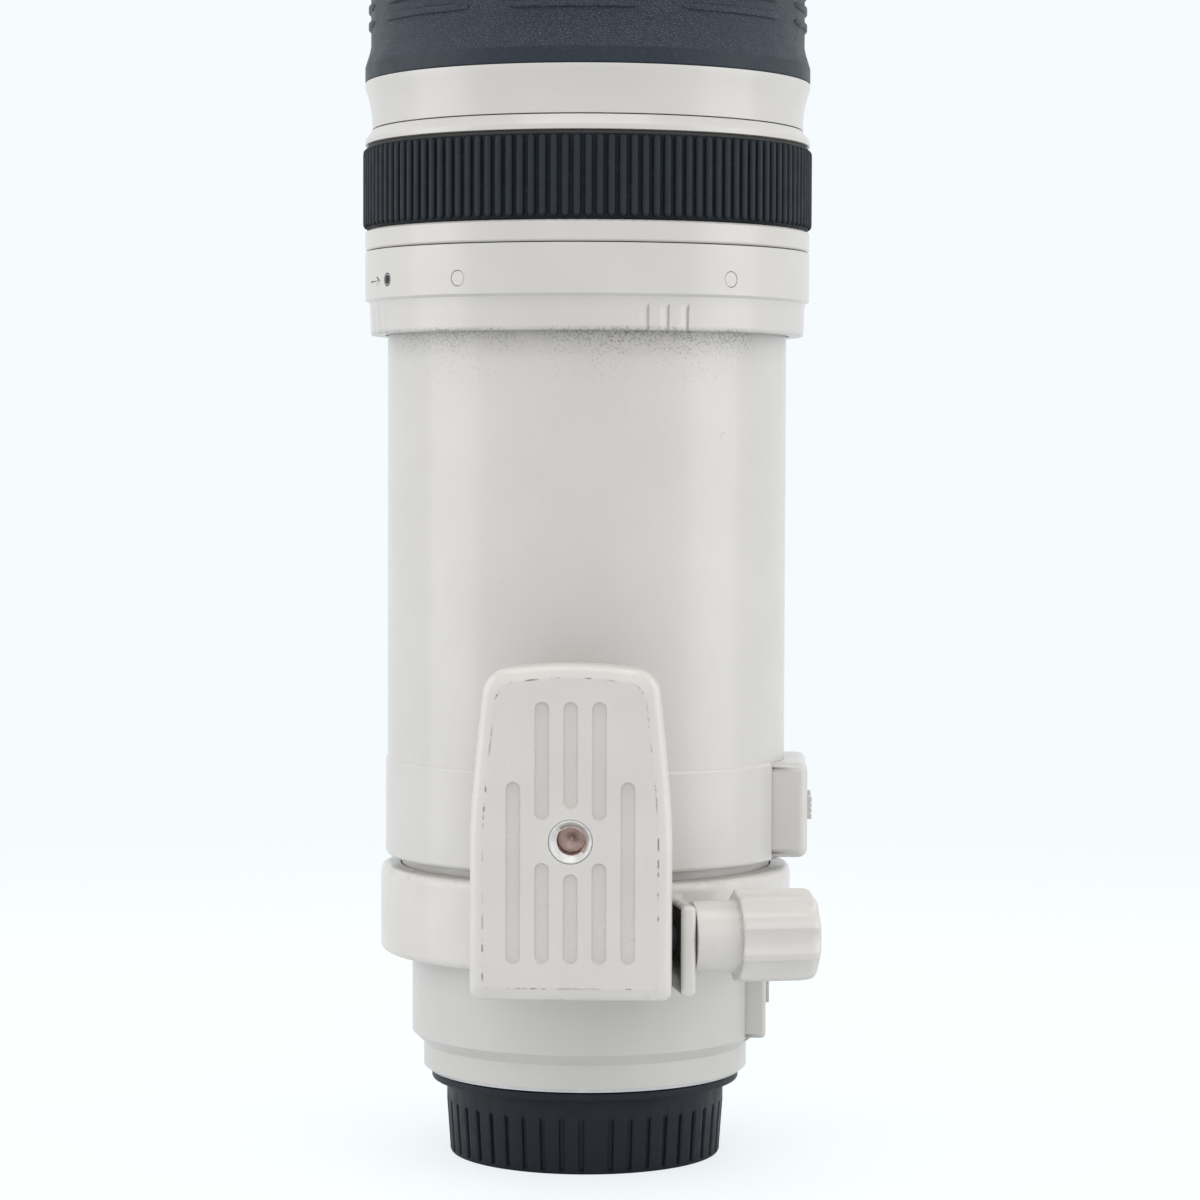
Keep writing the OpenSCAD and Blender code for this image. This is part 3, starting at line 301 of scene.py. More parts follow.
def copied(node):
    """A copy of a CAD node with its triangles merged into plain faces."""
    bm = bmesh.new()
    bm.from_mesh(frame["nodes"][node].data)
    bmesh.ops.remove_doubles(bm, verts=bm.verts, dist=WELD)
    bmesh.ops.dissolve_limit(bm, angle_limit=math.radians(FLAT_ANGLE), verts=bm.verts, edges=bm.edges)
    return linked(node + "_skin", bm)


def lapped(piece, r, z, lap):
    """Moves the rim of a copied piece beyond a radius and at a height, so that it laps its neighbour."""
    for vert in piece.data.vertices:
        if vert.co.xy.length > r * MM and abs(vert.co.z - z * MM) < RIM_ROOM * MM:
            vert.co.z += lap * MM
    return piece


def turned_glass(node, low_sag, top_sag):
    """A clean lens on the axis; a sag is how far its side bulges outwards in the middle."""
    r, low, top = reach(node)
    rim_low, rim_top = low + max(low_sag, 0), top - max(top_sag, 0)
    line = steps(0, r, 16)
    section = [(x, rim_low - low_sag * (1 - (x / r) ** 2), 0.0) for x in line]
    section += [(x, rim_top + top_sag * (1 - (x / r) ** 2), 0.0) for x in reversed(line)]
    return softened(turned(node + "_skin", section))


def polished(node):
    """A merged copy of a CAD glass, smooth over its even triangles."""
    bm = bmesh.new()
    bm.from_mesh(frame["nodes"][node].data)
    glass = linked(node + "_skin", bm)
    glass.data.shade_smooth()
    glass.data.set_sharp_from_angle(angle=math.radians(BEVEL_ANGLE))
    return glass


def added(piece, slot, beside, material=None):
    """Gives a finished piece its material, the finish of its slot unless one is given, and puts it on the body of a
    CAD node.
    """
    piece.data.materials.clear()
    piece.data.materials.append(material or finish(slot))
    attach(piece, body_of(frame["nodes"][beside])[0])


def worn_in(piece, slot, node, material=None):
    """Adds a finished piece in the place of a CAD node."""
    added(piece, slot, node, material)
    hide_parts(node)


def dressed(node, slot, width, material=None):
    """Puts a copy of a CAD node with broken edges in its place."""
    worn_in(softened(copied(node), width), slot, node, material)


# Node trees, and shapes repeated round the axis

REPEAT = "Repeat round the axis"


def new_node(tree, kind, fields=None, **settings):
    """A new node with its settings and what goes into its sockets, by name or number."""
    made = tree.nodes.new(kind)
    for key, value in settings.items():
        setattr(made, key, value)
    for key, value in (fields or {}).items():
        if isinstance(value, bpy.types.NodeSocket):
            tree.links.new(value, made.inputs[key])
        else:
            made.inputs[key].default_value = value
    return made


def ring_tree():
    """Geometry Nodes that repeat the object's own mesh in columns round the axis and in rows along it."""
    tree = bpy.data.node_groups.new(REPEAT, "GeometryNodeTree")
    for name, kind in (
        ("Geometry", "NodeSocketGeometry"),
        ("Columns", "NodeSocketInt"),
        ("Rows", "NodeSocketInt"),
        ("Pitch", "NodeSocketFloat"),
        ("Material", "NodeSocketMaterial"),
    ):
        tree.interface.new_socket(name, in_out="INPUT", socket_type=kind)
    tree.interface.new_socket("Geometry", in_out="OUTPUT", socket_type="NodeSocketGeometry")

    def add(kind, fields=None):
        return new_node(tree, kind, fields).outputs[0]

    def maths(operation, *values):
        return new_node(tree, "ShaderNodeMath", dict(enumerate(values)), operation=operation).outputs[0]

    given = new_node(tree, "NodeGroupInput").outputs
    columns, index = given["Columns"], add("GeometryNodeInputIndex")
    row = maths("FLOOR", maths("DIVIDE", index, columns))
    part = maths("DIVIDE", maths("MODULO", index, columns), columns)
    height = add("ShaderNodeCombineXYZ", {"Z": maths("MULTIPLY", row, given["Pitch"])})
    angle = add("ShaderNodeCombineXYZ", {"Z": maths("MULTIPLY", part, TURN)})
    turn = add("FunctionNodeEulerToRotation", {0: angle})
    count = maths("MULTIPLY", columns, given["Rows"])
    points = add("GeometryNodePoints", {"Count": count, "Position": height})
    copies = {"Points": points, "Instance": given["Geometry"], "Rotation": turn}
    real = add("GeometryNodeRealizeInstances", {0: add("GeometryNodeInstanceOnPoints", copies)})
    paint = add("GeometryNodeSetMaterial", {"Geometry": real, "Material": given["Material"]})
    new_node(tree, "NodeGroupOutput", {0: paint})
    return tree


def repeated(piece, slot, columns, rows=1, pitch=0.0):
    """The piece's mesh in columns round the axis and rows along it."""
    tree = bpy.data.node_groups.get(REPEAT) or ring_tree()
    step = piece.modifiers.new("Repeat", "NODES")
    step.node_group = tree
    wanted = {"Columns": columns, "Rows": rows, "Pitch": pitch * MM, "Material": finish(slot)}
    for item in tree.interface.items_tree:
        if item.in_out == "INPUT" and item.name in wanted:
            step[item.identifier] = wanted[item.name]
    return settle(piece)


def together(piece, *others):
    """One mesh from several pieces of a body."""
    bm = bmesh.new()
    for part in (piece, *others):
        bm.from_mesh(part.data)
    bm.to_mesh(piece.data)
    bm.free()
    for other in others:
        bpy.data.objects.remove(other)
    return piece


FIGURE_CUTS = 6
FIGURE_STEP = 0.4
FIGURE_RISE = 0.03


def figures(name, words, r, z, size, wide=1.0):
    """Thin raised figures round the axis, from (text, azimuth) pairs, cut up so that long strokes bend."""
    bm = bmesh.new()
    for word, azimuth in words:
        curve = bpy.data.curves.new("figure", "FONT")
        curve.body, curve.size, curve.extrude, curve.resolution_u = word, size * MM, FIGURE_RISE * MM, 3
        curve.align_x = curve.align_y = "CENTER"
        holder = bpy.data.objects.new("figure", curve)
        bpy.context.scene.collection.objects.link(holder)
        graph = bpy.context.evaluated_depsgraph_get()
        mesh = bpy.data.meshes.new_from_object(holder.evaluated_get(graph), depsgraph=graph)
        flat = bmesh.new()
        flat.from_mesh(mesh)
        for cut in range(-FIGURE_CUTS, FIGURE_CUTS + 1):
            every = flat.verts[:] + flat.edges[:] + flat.faces[:]
            place = (cut * FIGURE_STEP * MM, 0, 0)
            bmesh.ops.bisect_plane(flat, geom=every, plane_co=place, plane_no=(1, 0, 0))
        for vert in flat.verts:
            x, y, up = vert.co / MM
            vert.co = around(azimuth + math.degrees(x * wide / r), r + up, z + y)
        flat.to_mesh(mesh)
        flat.free()
        bm.from_mesh(mesh)
        bpy.data.objects.remove(holder)
        bpy.data.meshes.remove(mesh)
    return linked(name, bm)


# Surfaces


class Surface:
    """A procedural finish on Object coordinates, with sizes in millimetres."""

    def __init__(self, name, colour, rough, metal=0.0):
        self.material = bpy.data.materials.new(name)
        self.material.use_nodes = True
        self.tree = self.material.node_tree
        self.shader = self.tree.nodes["Principled BSDF"]
        self.place = self.add("ShaderNodeTexCoord").outputs["Object"]
        self.colour = tuple(colour)[:3] + (1.0,)
        self.set(Base_Color=self.colour, Roughness=rough, Metallic=metal)
        self.material.diffuse_color = self.colour

    def add(self, kind, fields=None, **settings):
        """A new node with its settings and what goes into its sockets."""
        return new_node(self.tree, kind, fields, **settings)

    def noise(self, size, detail=3.0, stretch=(1, 1, 1)):
        """Soft noise with features of a size, drawn out by stretch."""
        scale = tuple(1 / s for s in stretch)
        shift = self.add("ShaderNodeMapping", {"Vector": self.place, "Scale": scale})
        fields = {"Vector": shift.outputs[0], "Scale": 1 / (size * MM), "Detail": detail}
        return self.add("ShaderNodeTexNoise", fields).outputs["Fac"]

    def cells(self, size):
        """Distance to the edges of small cells, as in leather grain."""
        fields = {"Vector": self.place, "Scale": 1 / (size * MM)}
        return self.add("ShaderNodeTexVoronoi", fields, feature="DISTANCE_TO_EDGE").outputs["Distance"]

    def between(self, value, low, high, start=0.0, end=1.0):
        """The value carried from low..high to start..end, held at both ends."""
        return self.add("ShaderNodeMapRange", dict(enumerate((value, low, high, start, end)))).outputs[0]

    def times(self, first, second):
        """The product of two values."""
        return self.add("ShaderNodeMath", {0: first, 1: second}, operation="MULTIPLY").outputs[0]

    def height(self):
        """Height above the floor, in metres."""
        return self.add("ShaderNodeSeparateXYZ", {0: self.place}).outputs["Z"]

    def radius(self):
        """Distance from the axis, in metres."""
        flat = self.add("ShaderNodeVectorMath", {0: self.place, 1: (1, 1, 0)}, operation="MULTIPLY")
        return self.length(flat.outputs[0])

    def length(self, vector):
        """How long a vector is."""
        return self.add("ShaderNodeVectorMath", {0: vector}, operation="LENGTH").outputs["Value"]

    def mark(self, name):
        """A value that the piece carries on its points or faces."""
        return self.add("ShaderNodeAttribute", attribute_name=name).outputs["Fac"]

    def worn(self, low, high, size):
        """Worn spots along rounded edges."""
        return self.times(self.mark("wear"), self.between(self.noise(size, 4), low, high))

    def tint(self, factor, colour):
        """Lays a colour over what the finish has so far."""
        before = self.shader.inputs["Base Color"]
        base = before.links[0].from_socket if before.is_linked else self.colour
        fields = {0: factor, 6: base, 7: tuple(colour)[:3] + (1.0,)}
        self.tree.links.new(self.add("ShaderNodeMix", fields, data_type="RGBA").outputs[2], before)
        return self

    def spotted(self, size, detail, low, high, depth, colour):
        """Lays spots of a colour where a noise is high."""
        return self.tint(self.times(self.between(self.noise(size, detail), low, high), depth), colour)

    def mottled(self, size, depth):
        """Slightly darker and lighter clouds of the finish's own colour."""
        darker = [c * (1 - depth) for c in self.colour[:3]]
        return self.tint(self.between(self.noise(size), 0.35, 0.65), darker)

    def gloss(self, size, low, high):
        """Roughness that drifts between two values."""
        drift = self.between(self.noise(size), 0.3, 0.7, low, high)
        self.tree.links.new(drift, self.shader.inputs["Roughness"])
        return self

    def bump(self, value, depth):
        """Raises the surface by a depth where the value is high."""
        normal = self.shader.inputs["Normal"]
        fields = {"Distance": depth * MM, "Height": value}
        if normal.is_linked:
            fields["Normal"] = normal.links[0].from_socket
        self.tree.links.new(self.add("ShaderNodeBump", fields).outputs[0], normal)
        return self

    def grained(self, size, depth, detail=3.0, stretch=(1, 1, 1)):
        """The finished material, with a fine relief of noise."""
        return self.bump(self.noise(size, detail, stretch), depth).material

    def set(self, **values):
        """Sets uniform values on the shader's own sockets."""
        for name, value in values.items():
            self.shader.inputs[name.replace("_", " ")].default_value = value
        return self


def white_paint(colours):
    """Baked white enamel with clouds, orange peel, a painted shadow mixed with grime just below the tension ring,
    specks near the sliding sleeve and chipped edges.
    """
    made = Surface("white_enamel", colours.paint, 0.42).mottled(16, 0.035).gloss(7, 0.36, 0.47)
    rest = reach("tension_ring")[1] * MM
    patch = made.between(made.noise(22, 2), 0.4, 0.62)
    below = made.between(made.height(), rest, rest + MM, 1, 0)

    def near(drop):
        return made.times(below, made.between(made.height(), rest - drop * MM, rest))

    # painted shadow of the tension ring mixed with grime: a grey band that darkens up to the ring's lower edge
    made.tint(made.times(near(6), 0.35), (0.3, 0.285, 0.275))
    for drop, low, depth in ((5, 0.46, 0.75), (12, 0.57, 0.5), (100, 0.64, 0.34)):
        specks = made.times(made.between(made.noise(0.45, 3), low, low + 0.12), near(drop))
        made.tint(made.times(specks, made.times(patch, depth)), (0.13, 0.12, 0.115))
    made.spotted(0.9, 2, 0.8, 0.84, 0.35, (0.3, 0.28, 0.25))
    made.tint(made.worn(0.72, 0.76, 2.2), (0.16, 0.15, 0.14))
    return made.set(Coat_Weight=0.5, Coat_Roughness=0.16).grained(0.5, 0.006)


def collar_paint(colours):
    """Warmer, glossier enamel of the tripod collar, with dark chips along its edges and near-black painted shade on
    the walls of the clamp slit.
    """
    made = Surface("collar_enamel", colours.collar, 0.32).mottled(12, 0.04).gloss(6, 0.26, 0.4)
    made.spotted(0.9, 2, 0.79, 0.83, 0.4, (0.25, 0.22, 0.19))
    scratch = made.between(made.noise(0.5, 2, (1, 1, 14)), 0.76, 0.8)
    made.tint(made.times(scratch, 0.25), (0.3, 0.27, 0.24))
    chips = made.times(made.worn(0.5, 0.57, 2.0), made.between(made.noise(9, 1), 0.42, 0.56))
    made.tint(chips, (0.11, 0.1, 0.09))
    # painted shade: the walls of the clamp slit are tinted near black
    made.tint(made.mark("slit"), (0.012, 0.012, 0.013))
    return made.set(Coat_Weight=0.5, Coat_Roughness=0.13).grained(0.6, 0.007)


def grip_rubber(colours):
    """Blue-black rubber, smooth on its lower lip and with a leather-like grain and dust above it; the grain carries
    a lighter tint as painted sheen, weaker on the lip as painted shade.
    """
    made = Surface("zoom_rubber", colours.grip, 0.5).mottled(9, 0.06).gloss(4, 0.4, 0.52)
    lip = (reach("zoom_grip")[1] + GRIP_LIP) * MM
    # painted sheen on the grain above the lip, and painted shade on the lip, which keeps only a quarter of it
    above = made.between(made.height(), lip, lip + 0.3 * MM, 0.25, 1)
    grain = made.times(above, made.between(made.cells(0.48), 0.04, 0.3))
    made.tint(made.times(grain, 0.62), (0.068, 0.086, 0.108))
    made.spotted(1.4, 5, 0.6, 0.8, 0.12, (0.11, 0.12, 0.13))
    return made.set(Specular_IOR_Level=0.3).bump(grain, 0.08).grained(0.18, 0.012)


def focus_rubber(colours):
    """Dark ribbed rubber with a painted highlight on its ridges and on its upper edge, which faces up into the
    light.
    """
    made = Surface("focus_rubber", colours.focus, 0.6).mottled(5, 0.2).gloss(3, 0.5, 0.68)
    r, _, top = reach("focus_ring_rubber")
    # painted highlight: the rib crests are tinted lighter than the valleys
    crest = made.between(made.radius(), (r - 0.45) * MM, r * MM)
    made.tint(made.times(crest, 0.8), (0.026, 0.032, 0.038))
    # painted highlight on the upward-facing land above the ribs
    lit_land_highlight = made.between(made.height(), (top - 0.8) * MM, (top - 0.5) * MM)
    made.tint(made.times(lit_land_highlight, 0.8), (0.07, 0.068, 0.066))
    made.spotted(1.1, 5, 0.58, 0.75, 0.3, (0.04, 0.042, 0.044))
    return made.set(Specular_IOR_Level=0.16).grained(0.2, 0.012)


def black_plastic(colours):
    """Moulded black plastic with a fine spark-eroded texture."""
    made = Surface("black_plastic", colours.plastic, 0.48).mottled(5, 0.12).gloss(4, 0.4, 0.56)
    made.tint(made.times(made.worn(0.35, 0.7, 0.8), 0.3), (0.06, 0.065, 0.07))
    made.spotted(0.7, 3, 0.72, 0.8, 0.25, (0.08, 0.08, 0.08))
    return made.set(Specular_IOR_Level=0.25).grained(0.16, 0.01)


def plain(name, colour, rough, clouds, gloss, grain, metal=0.0):
    """A finish of one colour with clouds, drifting gloss and a fine relief."""
    return Surface(name, colour, rough, metal).mottled(*clouds).gloss(*gloss).grained(*grain)


def switch_plastic(colours):
    """Satin grey-white plastic of the slide switches."""
    return plain("switch_plastic", colours.paint, 0.45, (3, 0.06), (3, 0.38, 0.5), (0.15, 0.006))


def black_metal(colours):
    """Black anodised tube with faint turning lines."""
    lines = (0.35, 0.006, 2, (60, 60, 1))
    return plain("black_anodised", (0.018, 0.018, 0.02), 0.42, (5, 0.15), (3, 0.34, 0.5), lines, 0.35)


def turned_metal(name, colour, rough):
    """Bare turned metal with fine tool marks and a worn sheen."""
    lines = (0.25, 0.004, 2, (50, 50, 1))
    return plain(name, colour, rough, (4, 0.12), (2, rough - 0.08, rough + 0.1), lines, 1.0)


def insert_metal():
    """Bright satin insert whose thread has gone brown."""
    made = Surface("threaded_insert", (0.66, 0.65, 0.63), 0.42, 0.75).mottled(1.5, 0.12).gloss(1, 0.34, 0.5)
    return made.tint(made.mark("wear"), (0.57, 0.41, 0.36)).grained(0.3, 0.005, 2)


def lens_glass(colours):
    """Clear glass with a faint coating tint."""
    made = Surface("coated_glass", (0.98, 1.0, 0.99), 0.0).gloss(9, 0.0, 0.015)
    coating = tuple(colours.coating) + (1.0,)
    return made.set(Transmission_Weight=1.0, IOR=1.5, Specular_Tint=coating).material


def window_pane(colours):
    """Clear acrylic pane with light scratches."""
    made = Surface("window_acrylic", (0.95, 0.96, 0.96), 0.05).gloss(2, 0.03, 0.09)
    return made.set(Transmission_Weight=0.95, IOR=1.49).grained(1.5, 0.002, 3, (8, 1, 1))


def nylon(colours):
    """Off-white nylon."""
    return plain("nylon", (0.68, 0.67, 0.6), 0.5, (3, 0.08), (2, 0.44, 0.58), (0.2, 0.006))


def felt(colours):
    """Short-fibred black felt."""
    made = Surface("felt", (0.014, 0.014, 0.015), 0.95).mottled(0.8, 0.4)
    return made.set(Sheen_Weight=0.4).grained(0.12, 0.06, 5)


def board(colours):
    """Green circuit board under its solder mask."""
    return plain("circuit_board", (0.02, 0.1, 0.05), 0.35, (2, 0.3), (2, 0.28, 0.42), (0.4, 0.01))


FINISHES = {
    "white_paint": white_paint,
    "collar_paint": collar_paint,
    "switch_plastic": switch_plastic,
    "black_plastic": black_plastic,
    "grip_rubber": grip_rubber,
    "focus_rubber": focus_rubber,
    "felt": felt,
    "black_metal": black_metal,
    "steel": lambda colours: turned_metal("turned_steel", (0.55, 0.55, 0.56), 0.3),
    "brass": lambda colours: turned_metal("turned_brass", (0.62, 0.44, 0.19), 0.32),
    "nylon": nylon,
    "board": board,
    "lens_glass": lens_glass,
    "window_pane": window_pane,
}
made_finishes = {}


def finish(slot):
    """The material of a slot, made once."""
    if slot not in made_finishes:
        made_finishes[slot] = FINISHES[slot](bpy.context.scene.lens_colours)
    return made_finishes[slot]


# What a user may change


class LensColours(bpy.types.PropertyGroup):
    """Colours of the finishes, as linear values."""

    paint: FloatVectorProperty(
        name="Enamel", description="White enamel of the barrel", subtype="COLOR", default=(0.573, 0.556, 0.53)
    )
    collar: FloatVectorProperty(
        name="Collar", description="Enamel of the tripod collar", subtype="COLOR", default=(0.61, 0.585, 0.555)
    )
    grip: FloatVectorProperty(
        name="Zoom rubber", description="Rubber of the zoom grip", subtype="COLOR", default=(0.01, 0.017, 0.027)
    )
    focus: FloatVectorProperty(
        name="Focus rubber", description="Rubber of the focus ring", subtype="COLOR", default=(0.005, 0.008, 0.0115)
    )
    plastic: FloatVectorProperty(
        name="Black plastic", description="Cap and front ring", subtype="COLOR", default=(0.009, 0.012, 0.018)
    )
    coating: FloatVectorProperty(
        name="Coating", description="Tint of the glass's reflections", subtype="COLOR", default=(0.09, 0.15, 0.13)
    )


class LensSizes(bpy.types.PropertyGroup):
    """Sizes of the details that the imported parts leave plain, in metres."""

    ribs: IntProperty(name="Focus ribs", description="Ribs round the focus ring", default=128, min=12)
    bar_columns: IntProperty(name="Bar columns", description="Groups of grip bars round the lens", default=8, min=1)
    bar_rows: IntProperty(name="Bar rows", description="Grip bars above each other", default=8, min=1)
    plugs: IntProperty(name="Screw plugs", description="Plugs round the tension ring", default=5, min=1)
    thread_pitch: FloatProperty(
        name="Filter thread", description="Pitch of the filter thread", unit="LENGTH", default=0.75 * MM
    )
    edge: FloatProperty(
        name="Broken edge", description="Rounding of the enamelled edges", unit="LENGTH", default=0.35 * MM
    )


class LensStudio(bpy.types.PropertyGroup):
    """Camera and light."""

    focal: FloatProperty(name="Focal length", description="Camera lens", unit="CAMERA", default=106.65)
    sky: FloatProperty(name="Room light", description="Strength of the even light", default=0.95)
    side: FloatProperty(name="Side light", description="Power of each side lamp", subtype="POWER", default=2.0)
    front: FloatProperty(name="Front light", description="Power of the front lamp", subtype="POWER", default=2.0)
    top: FloatProperty(name="Top light", description="Power of the top lamp", subtype="POWER", default=2.5)
    backdrop: FloatVectorProperty(
        name="Backdrop", description="Colour behind the lens", subtype="COLOR", default=(0.922, 0.965, 0.991)
    )


# Rear cap and mount

CAP_FOOT_R = 27.9
CAP_WALL_R = 27.1
CAP_CAVITY_R = 26.0
CAP_FLOOR = 2.0
CAP_LEDGE = 9.0
CAP_LIP_H = 1.7
CAP_FLARE = 0.7
CAP_SKIN = 0.5
CAP_GROOVE_Z = (0.5, 11.3)
CAP_GROOVE_RAMPS = (0.5, 0.6)
CAP_GROOVE_STEP = 8.0
CAP_GROOVE_HALF = 0.5
CAP_GROOVE_DEPTH = 0.6
CAP_GROOVE_STOPS = (-1.3, -1.0, -0.8, 0.0, 0.8, 1.0, 1.3)
CAP_GROOVE_CLEAR = 1.6
CAP_GROOVE_MOUTH = 1.15
CAP_GROOVE_WALL = 0.35
CAP_PLAIN_HALF = 10.0
CAP_TURN = 3.2
CAP_HOOK_R = 25.5
CAP_HOOK_Z = (13.9, 15.1)
CAP_HOOK_ARC = 50


def cap_grooves():
    """Azimuths of the cap's finger grooves, which leave a plain spot at the front and the back."""
    count = int((180 - 2 * CAP_PLAIN_HALF) / CAP_GROOVE_STEP)
    half = [CAP_PLAIN_HALF + CAP_GROOVE_STEP * i for i in range(count + 1)]
    first = CAP_PLAIN_HALF - CAP_GROOVE_STEP
    return sorted([CAP_TURN + a for a in half] + [CAP_TURN - a for a in [first] + half])


class LENS_OT_rear_cap(bpy.types.Operator):
    """Rear cap with flats between thin finger grooves"""

    bl_idname = "lens.rear_cap"
    bl_label = "Rear cap"

    def execute(self, context):
        lip_r, _, top = reach("rear_cap")
        lip_z, top_r = top - CAP_LIP_H, CAP_FOOT_R + CAP_FLARE
        (low, high), (low_ramp, top_ramp) = CAP_GROOVE_Z, CAP_GROOVE_RAMPS
        grooves = cap_grooves()
        half = math.degrees(CAP_GROOVE_HALF / CAP_FOOT_R)
        clear = CAP_GROOVE_CLEAR * half
        azimuths = [a for a in steps(-180, 180, 240)[:-1] if all(abs(a - g) > clear for g in grooves)]
        azimuths += [groove + half * stop for groove in grooves for stop in CAP_GROOVE_STOPS]
        section = rounded([
            (0, 0, 0), (CAP_FOOT_R - 0.2, 0, 1.2), (CAP_FOOT_R, low, 0), (CAP_FOOT_R, low + low_ramp, 0),
            (top_r, high - top_ramp, 0), (top_r, high, 0), (top_r, lip_z, 0.9), (lip_r, lip_z, 0.45),
            (lip_r, top, 0.45), (CAP_WALL_R, top, 0.3), (CAP_WALL_R, CAP_LEDGE, 0),
            (CAP_CAVITY_R, CAP_LEDGE, 0), (CAP_CAVITY_R, CAP_FLOOR, 0.5), (0, CAP_FLOOR, 0),
        ])

        def dent(azimuth, r, z):
            if r < CAP_FOOT_R - CAP_SKIN or not low <= z <= high:
                return r
            off = min(abs(azimuth - g) for g in grooves)
            rise = min(1, (z - low) / low_ramp, (high - z) / top_ramp)
            sunk = max(0.0, min(1.0, (CAP_GROOVE_MOUTH * half - off) / (CAP_GROOVE_WALL * half)))
            return r - CAP_GROOVE_DEPTH * sunk * rise

        cap = turned("rear_cap_skin", section, dent, sorted(azimuths))
        hook = turned_wedge("cap_hook", CAP_HOOK_R, CAP_WALL_R + 0.05, *CAP_HOOK_Z, CAP_HOOK_ARC)
        worn_in(softened(together(cap, repeated(hook, "black_plastic", 3))), "black_plastic", "rear_cap")
        for node, slot in (("bayonet_mount", "steel"), ("mount_screws", "steel"), ("contact_pins", "brass")):
            dressed(node, slot, 0.15)
        return {"FINISHED"}


# Barrels and bands

BODY_R = 35.8
SEAM = 0.22
SEAM_DEPTH = 0.4
RING_LAP = 0.2
TUBE_LAP = 0.25
TUBE_RIM_R = 40
TAIL_LAP = 0.9
PANEL_ROOT = 8
SWITCH_ROOM = 0.4
SWITCH_TRAVEL = 1.5
SWITCH_BED = 0.3
BEYOND_X = 60


def panel_block(name, node, room):
    """A box as large as a switch panel and a little room, reaching well into the barrel's wall."""
    low, high = corners(node)
    sides = rectangle(low.x - PANEL_ROOT, high.x + room, low.y - room, high.y + room)
    return block(name, sides, low.z - room, high.z + room)


def panel_seam(node, wall_r):
    """A cutter for the thin seam round a switch panel."""
    return combined(panel_block("panel_seam", node, SEAM), [core("wall", wall_r - SEAM_DEPTH)], "DIFFERENCE")


class LENS_OT_barrels(bpy.types.Operator):
    """Enamelled barrels and bands with broken edges"""

    bl_idname = "lens.barrels"
    bl_label = "Barrels and bands"

    def execute(self, context):
        edge = context.scene.lens_sizes.edge / MM
        for node, width in (("focus_ring_core", 0.12), ("nose_band", edge)):
            dressed(node, "white_paint", width)
        waist = lapped(copied("waist_band"), 0, reach("waist_band")[1], -RING_LAP)
        worn_in(softened(waist, 0.12), "white_paint", "waist_band")
        tube = lapped(copied("guide_tube"), TUBE_RIM_R, reach("mid_barrel")[2], -TUBE_LAP)
        worn_in(softened(tube, 0.06), "white_paint", "guide_tube")
        for node, panel, wall_r, lap in (
            ("mid_barrel", "focus_switch_panel", reach("mid_barrel")[0], 0.0),
            ("rear_barrel", "stabiliser_switch_panel", BODY_R, TAIL_LAP),
        ):
            barrel = softened(lapped(copied(node), reach("bayonet_mount")[0], reach(node)[1], -lap), edge)
            combined(barrel, [panel_seam(panel, wall_r)], "DIFFERENCE")
            worn_in(softened(barrel), "white_paint", node)
        return {"FINISHED"}


class LENS_OT_switches(bpy.types.Operator):
    """Switch panels and their sliders"""

    bl_idname = "lens.switches"
    bl_label = "Switches"

    def execute(self, context):
        panels = (
            ("focus_switch_panel", reach("mid_barrel")[0], 1.9, ("focus_mode_switch", "focus_limit_switch")),
            ("stabiliser_switch_panel", BODY_R, 1.0, ("stabiliser_switch", "stabiliser_mode_switch")),
        )
        wide, long = SWITCH_ROOM, SWITCH_ROOM + SWITCH_TRAVEL
        for node, wall_r, width, sliders in panels:
            panel = softened(panel_block(node + "_skin", node, 0), width, 6)
            cutters = [core("wall", wall_r - 2 * SEAM_DEPTH)]
            for slider in sliders:
                low, high = corners(slider)
                outline = rectangle(low.x - SWITCH_BED, BEYOND_X, low.y - wide, high.y + wide)
                cutters.append(block("slider_recess", outline, low.z - long, high.z + long))
            combined(panel, cutters, "DIFFERENCE")
            worn_in(softened(panel), "white_paint", node)
        for slider in (slider for panel in panels for slider in panel[-1]):
            dressed(slider, "switch_plastic", 0.12)
        return {"FINISHED"}


# Tripod collar, foot and clamp

FOOT_BEVEL = 2.2
FOOT_RIM = 2.5
FOOT_ROUND_END = 68
FOOT_TAPER_AT = 0.49
FOOT_TOP_HALF = 16.9
FOOT_CROWN = 0.8
FOOT_THICK = 8.5
FOOT_CLEAN_HALF = 13.5
FOOT_CLEAN_Z = (45, 100)
STEM_Y = -58
STEM_Z = (40.6, 60.0)
SOCKET_Z = 70.95
SOCKET_R = 4.2
SOCKET_DEPTH = 7.6
SOCKET_HOLE_R = 4.25
SOCKET_HOLE_Y = (-65, -56.35)
GROOVE_W = 2.75
GROOVE_DEPTH = 0.8
GROOVE_PITCH = 5.45
GROOVE_END = 7.1
GROOVE_REST = 6.15
GROOVE_SIDE_REST = 2.1
GROOVE_OUTER_TOP = 11.35
CLAMP_AT = Vector((21.5, -48.5, 50.9))
CLAMP_TILT = 12.0
SLIT_X = -3.8
SLIT_END = 17
CLAMP_REACH = 40
LUG_X = (-2.0, 1.0)
LUG_Y = (-6.7, 15.0)
LUG_H = 17.6
CLAMP_HOLE_R = 2.8
CLAMP_HOLE_X = (-13, 1.3)
COLLAR_H = 17.8
COLLAR_IN = 38.3
COLLAR_Z = (30, 70)
PAD_HALF = 19.0
PAD_ROOT = -34
SWEEP_R = 41.0
FOOT_SCREW_GAP = 4.5
FOOT_SCREW_ROOT = -36


def foot_face():
    """How far the foot's face is from the axis."""
    return -corners("tripod_foot")[0].y


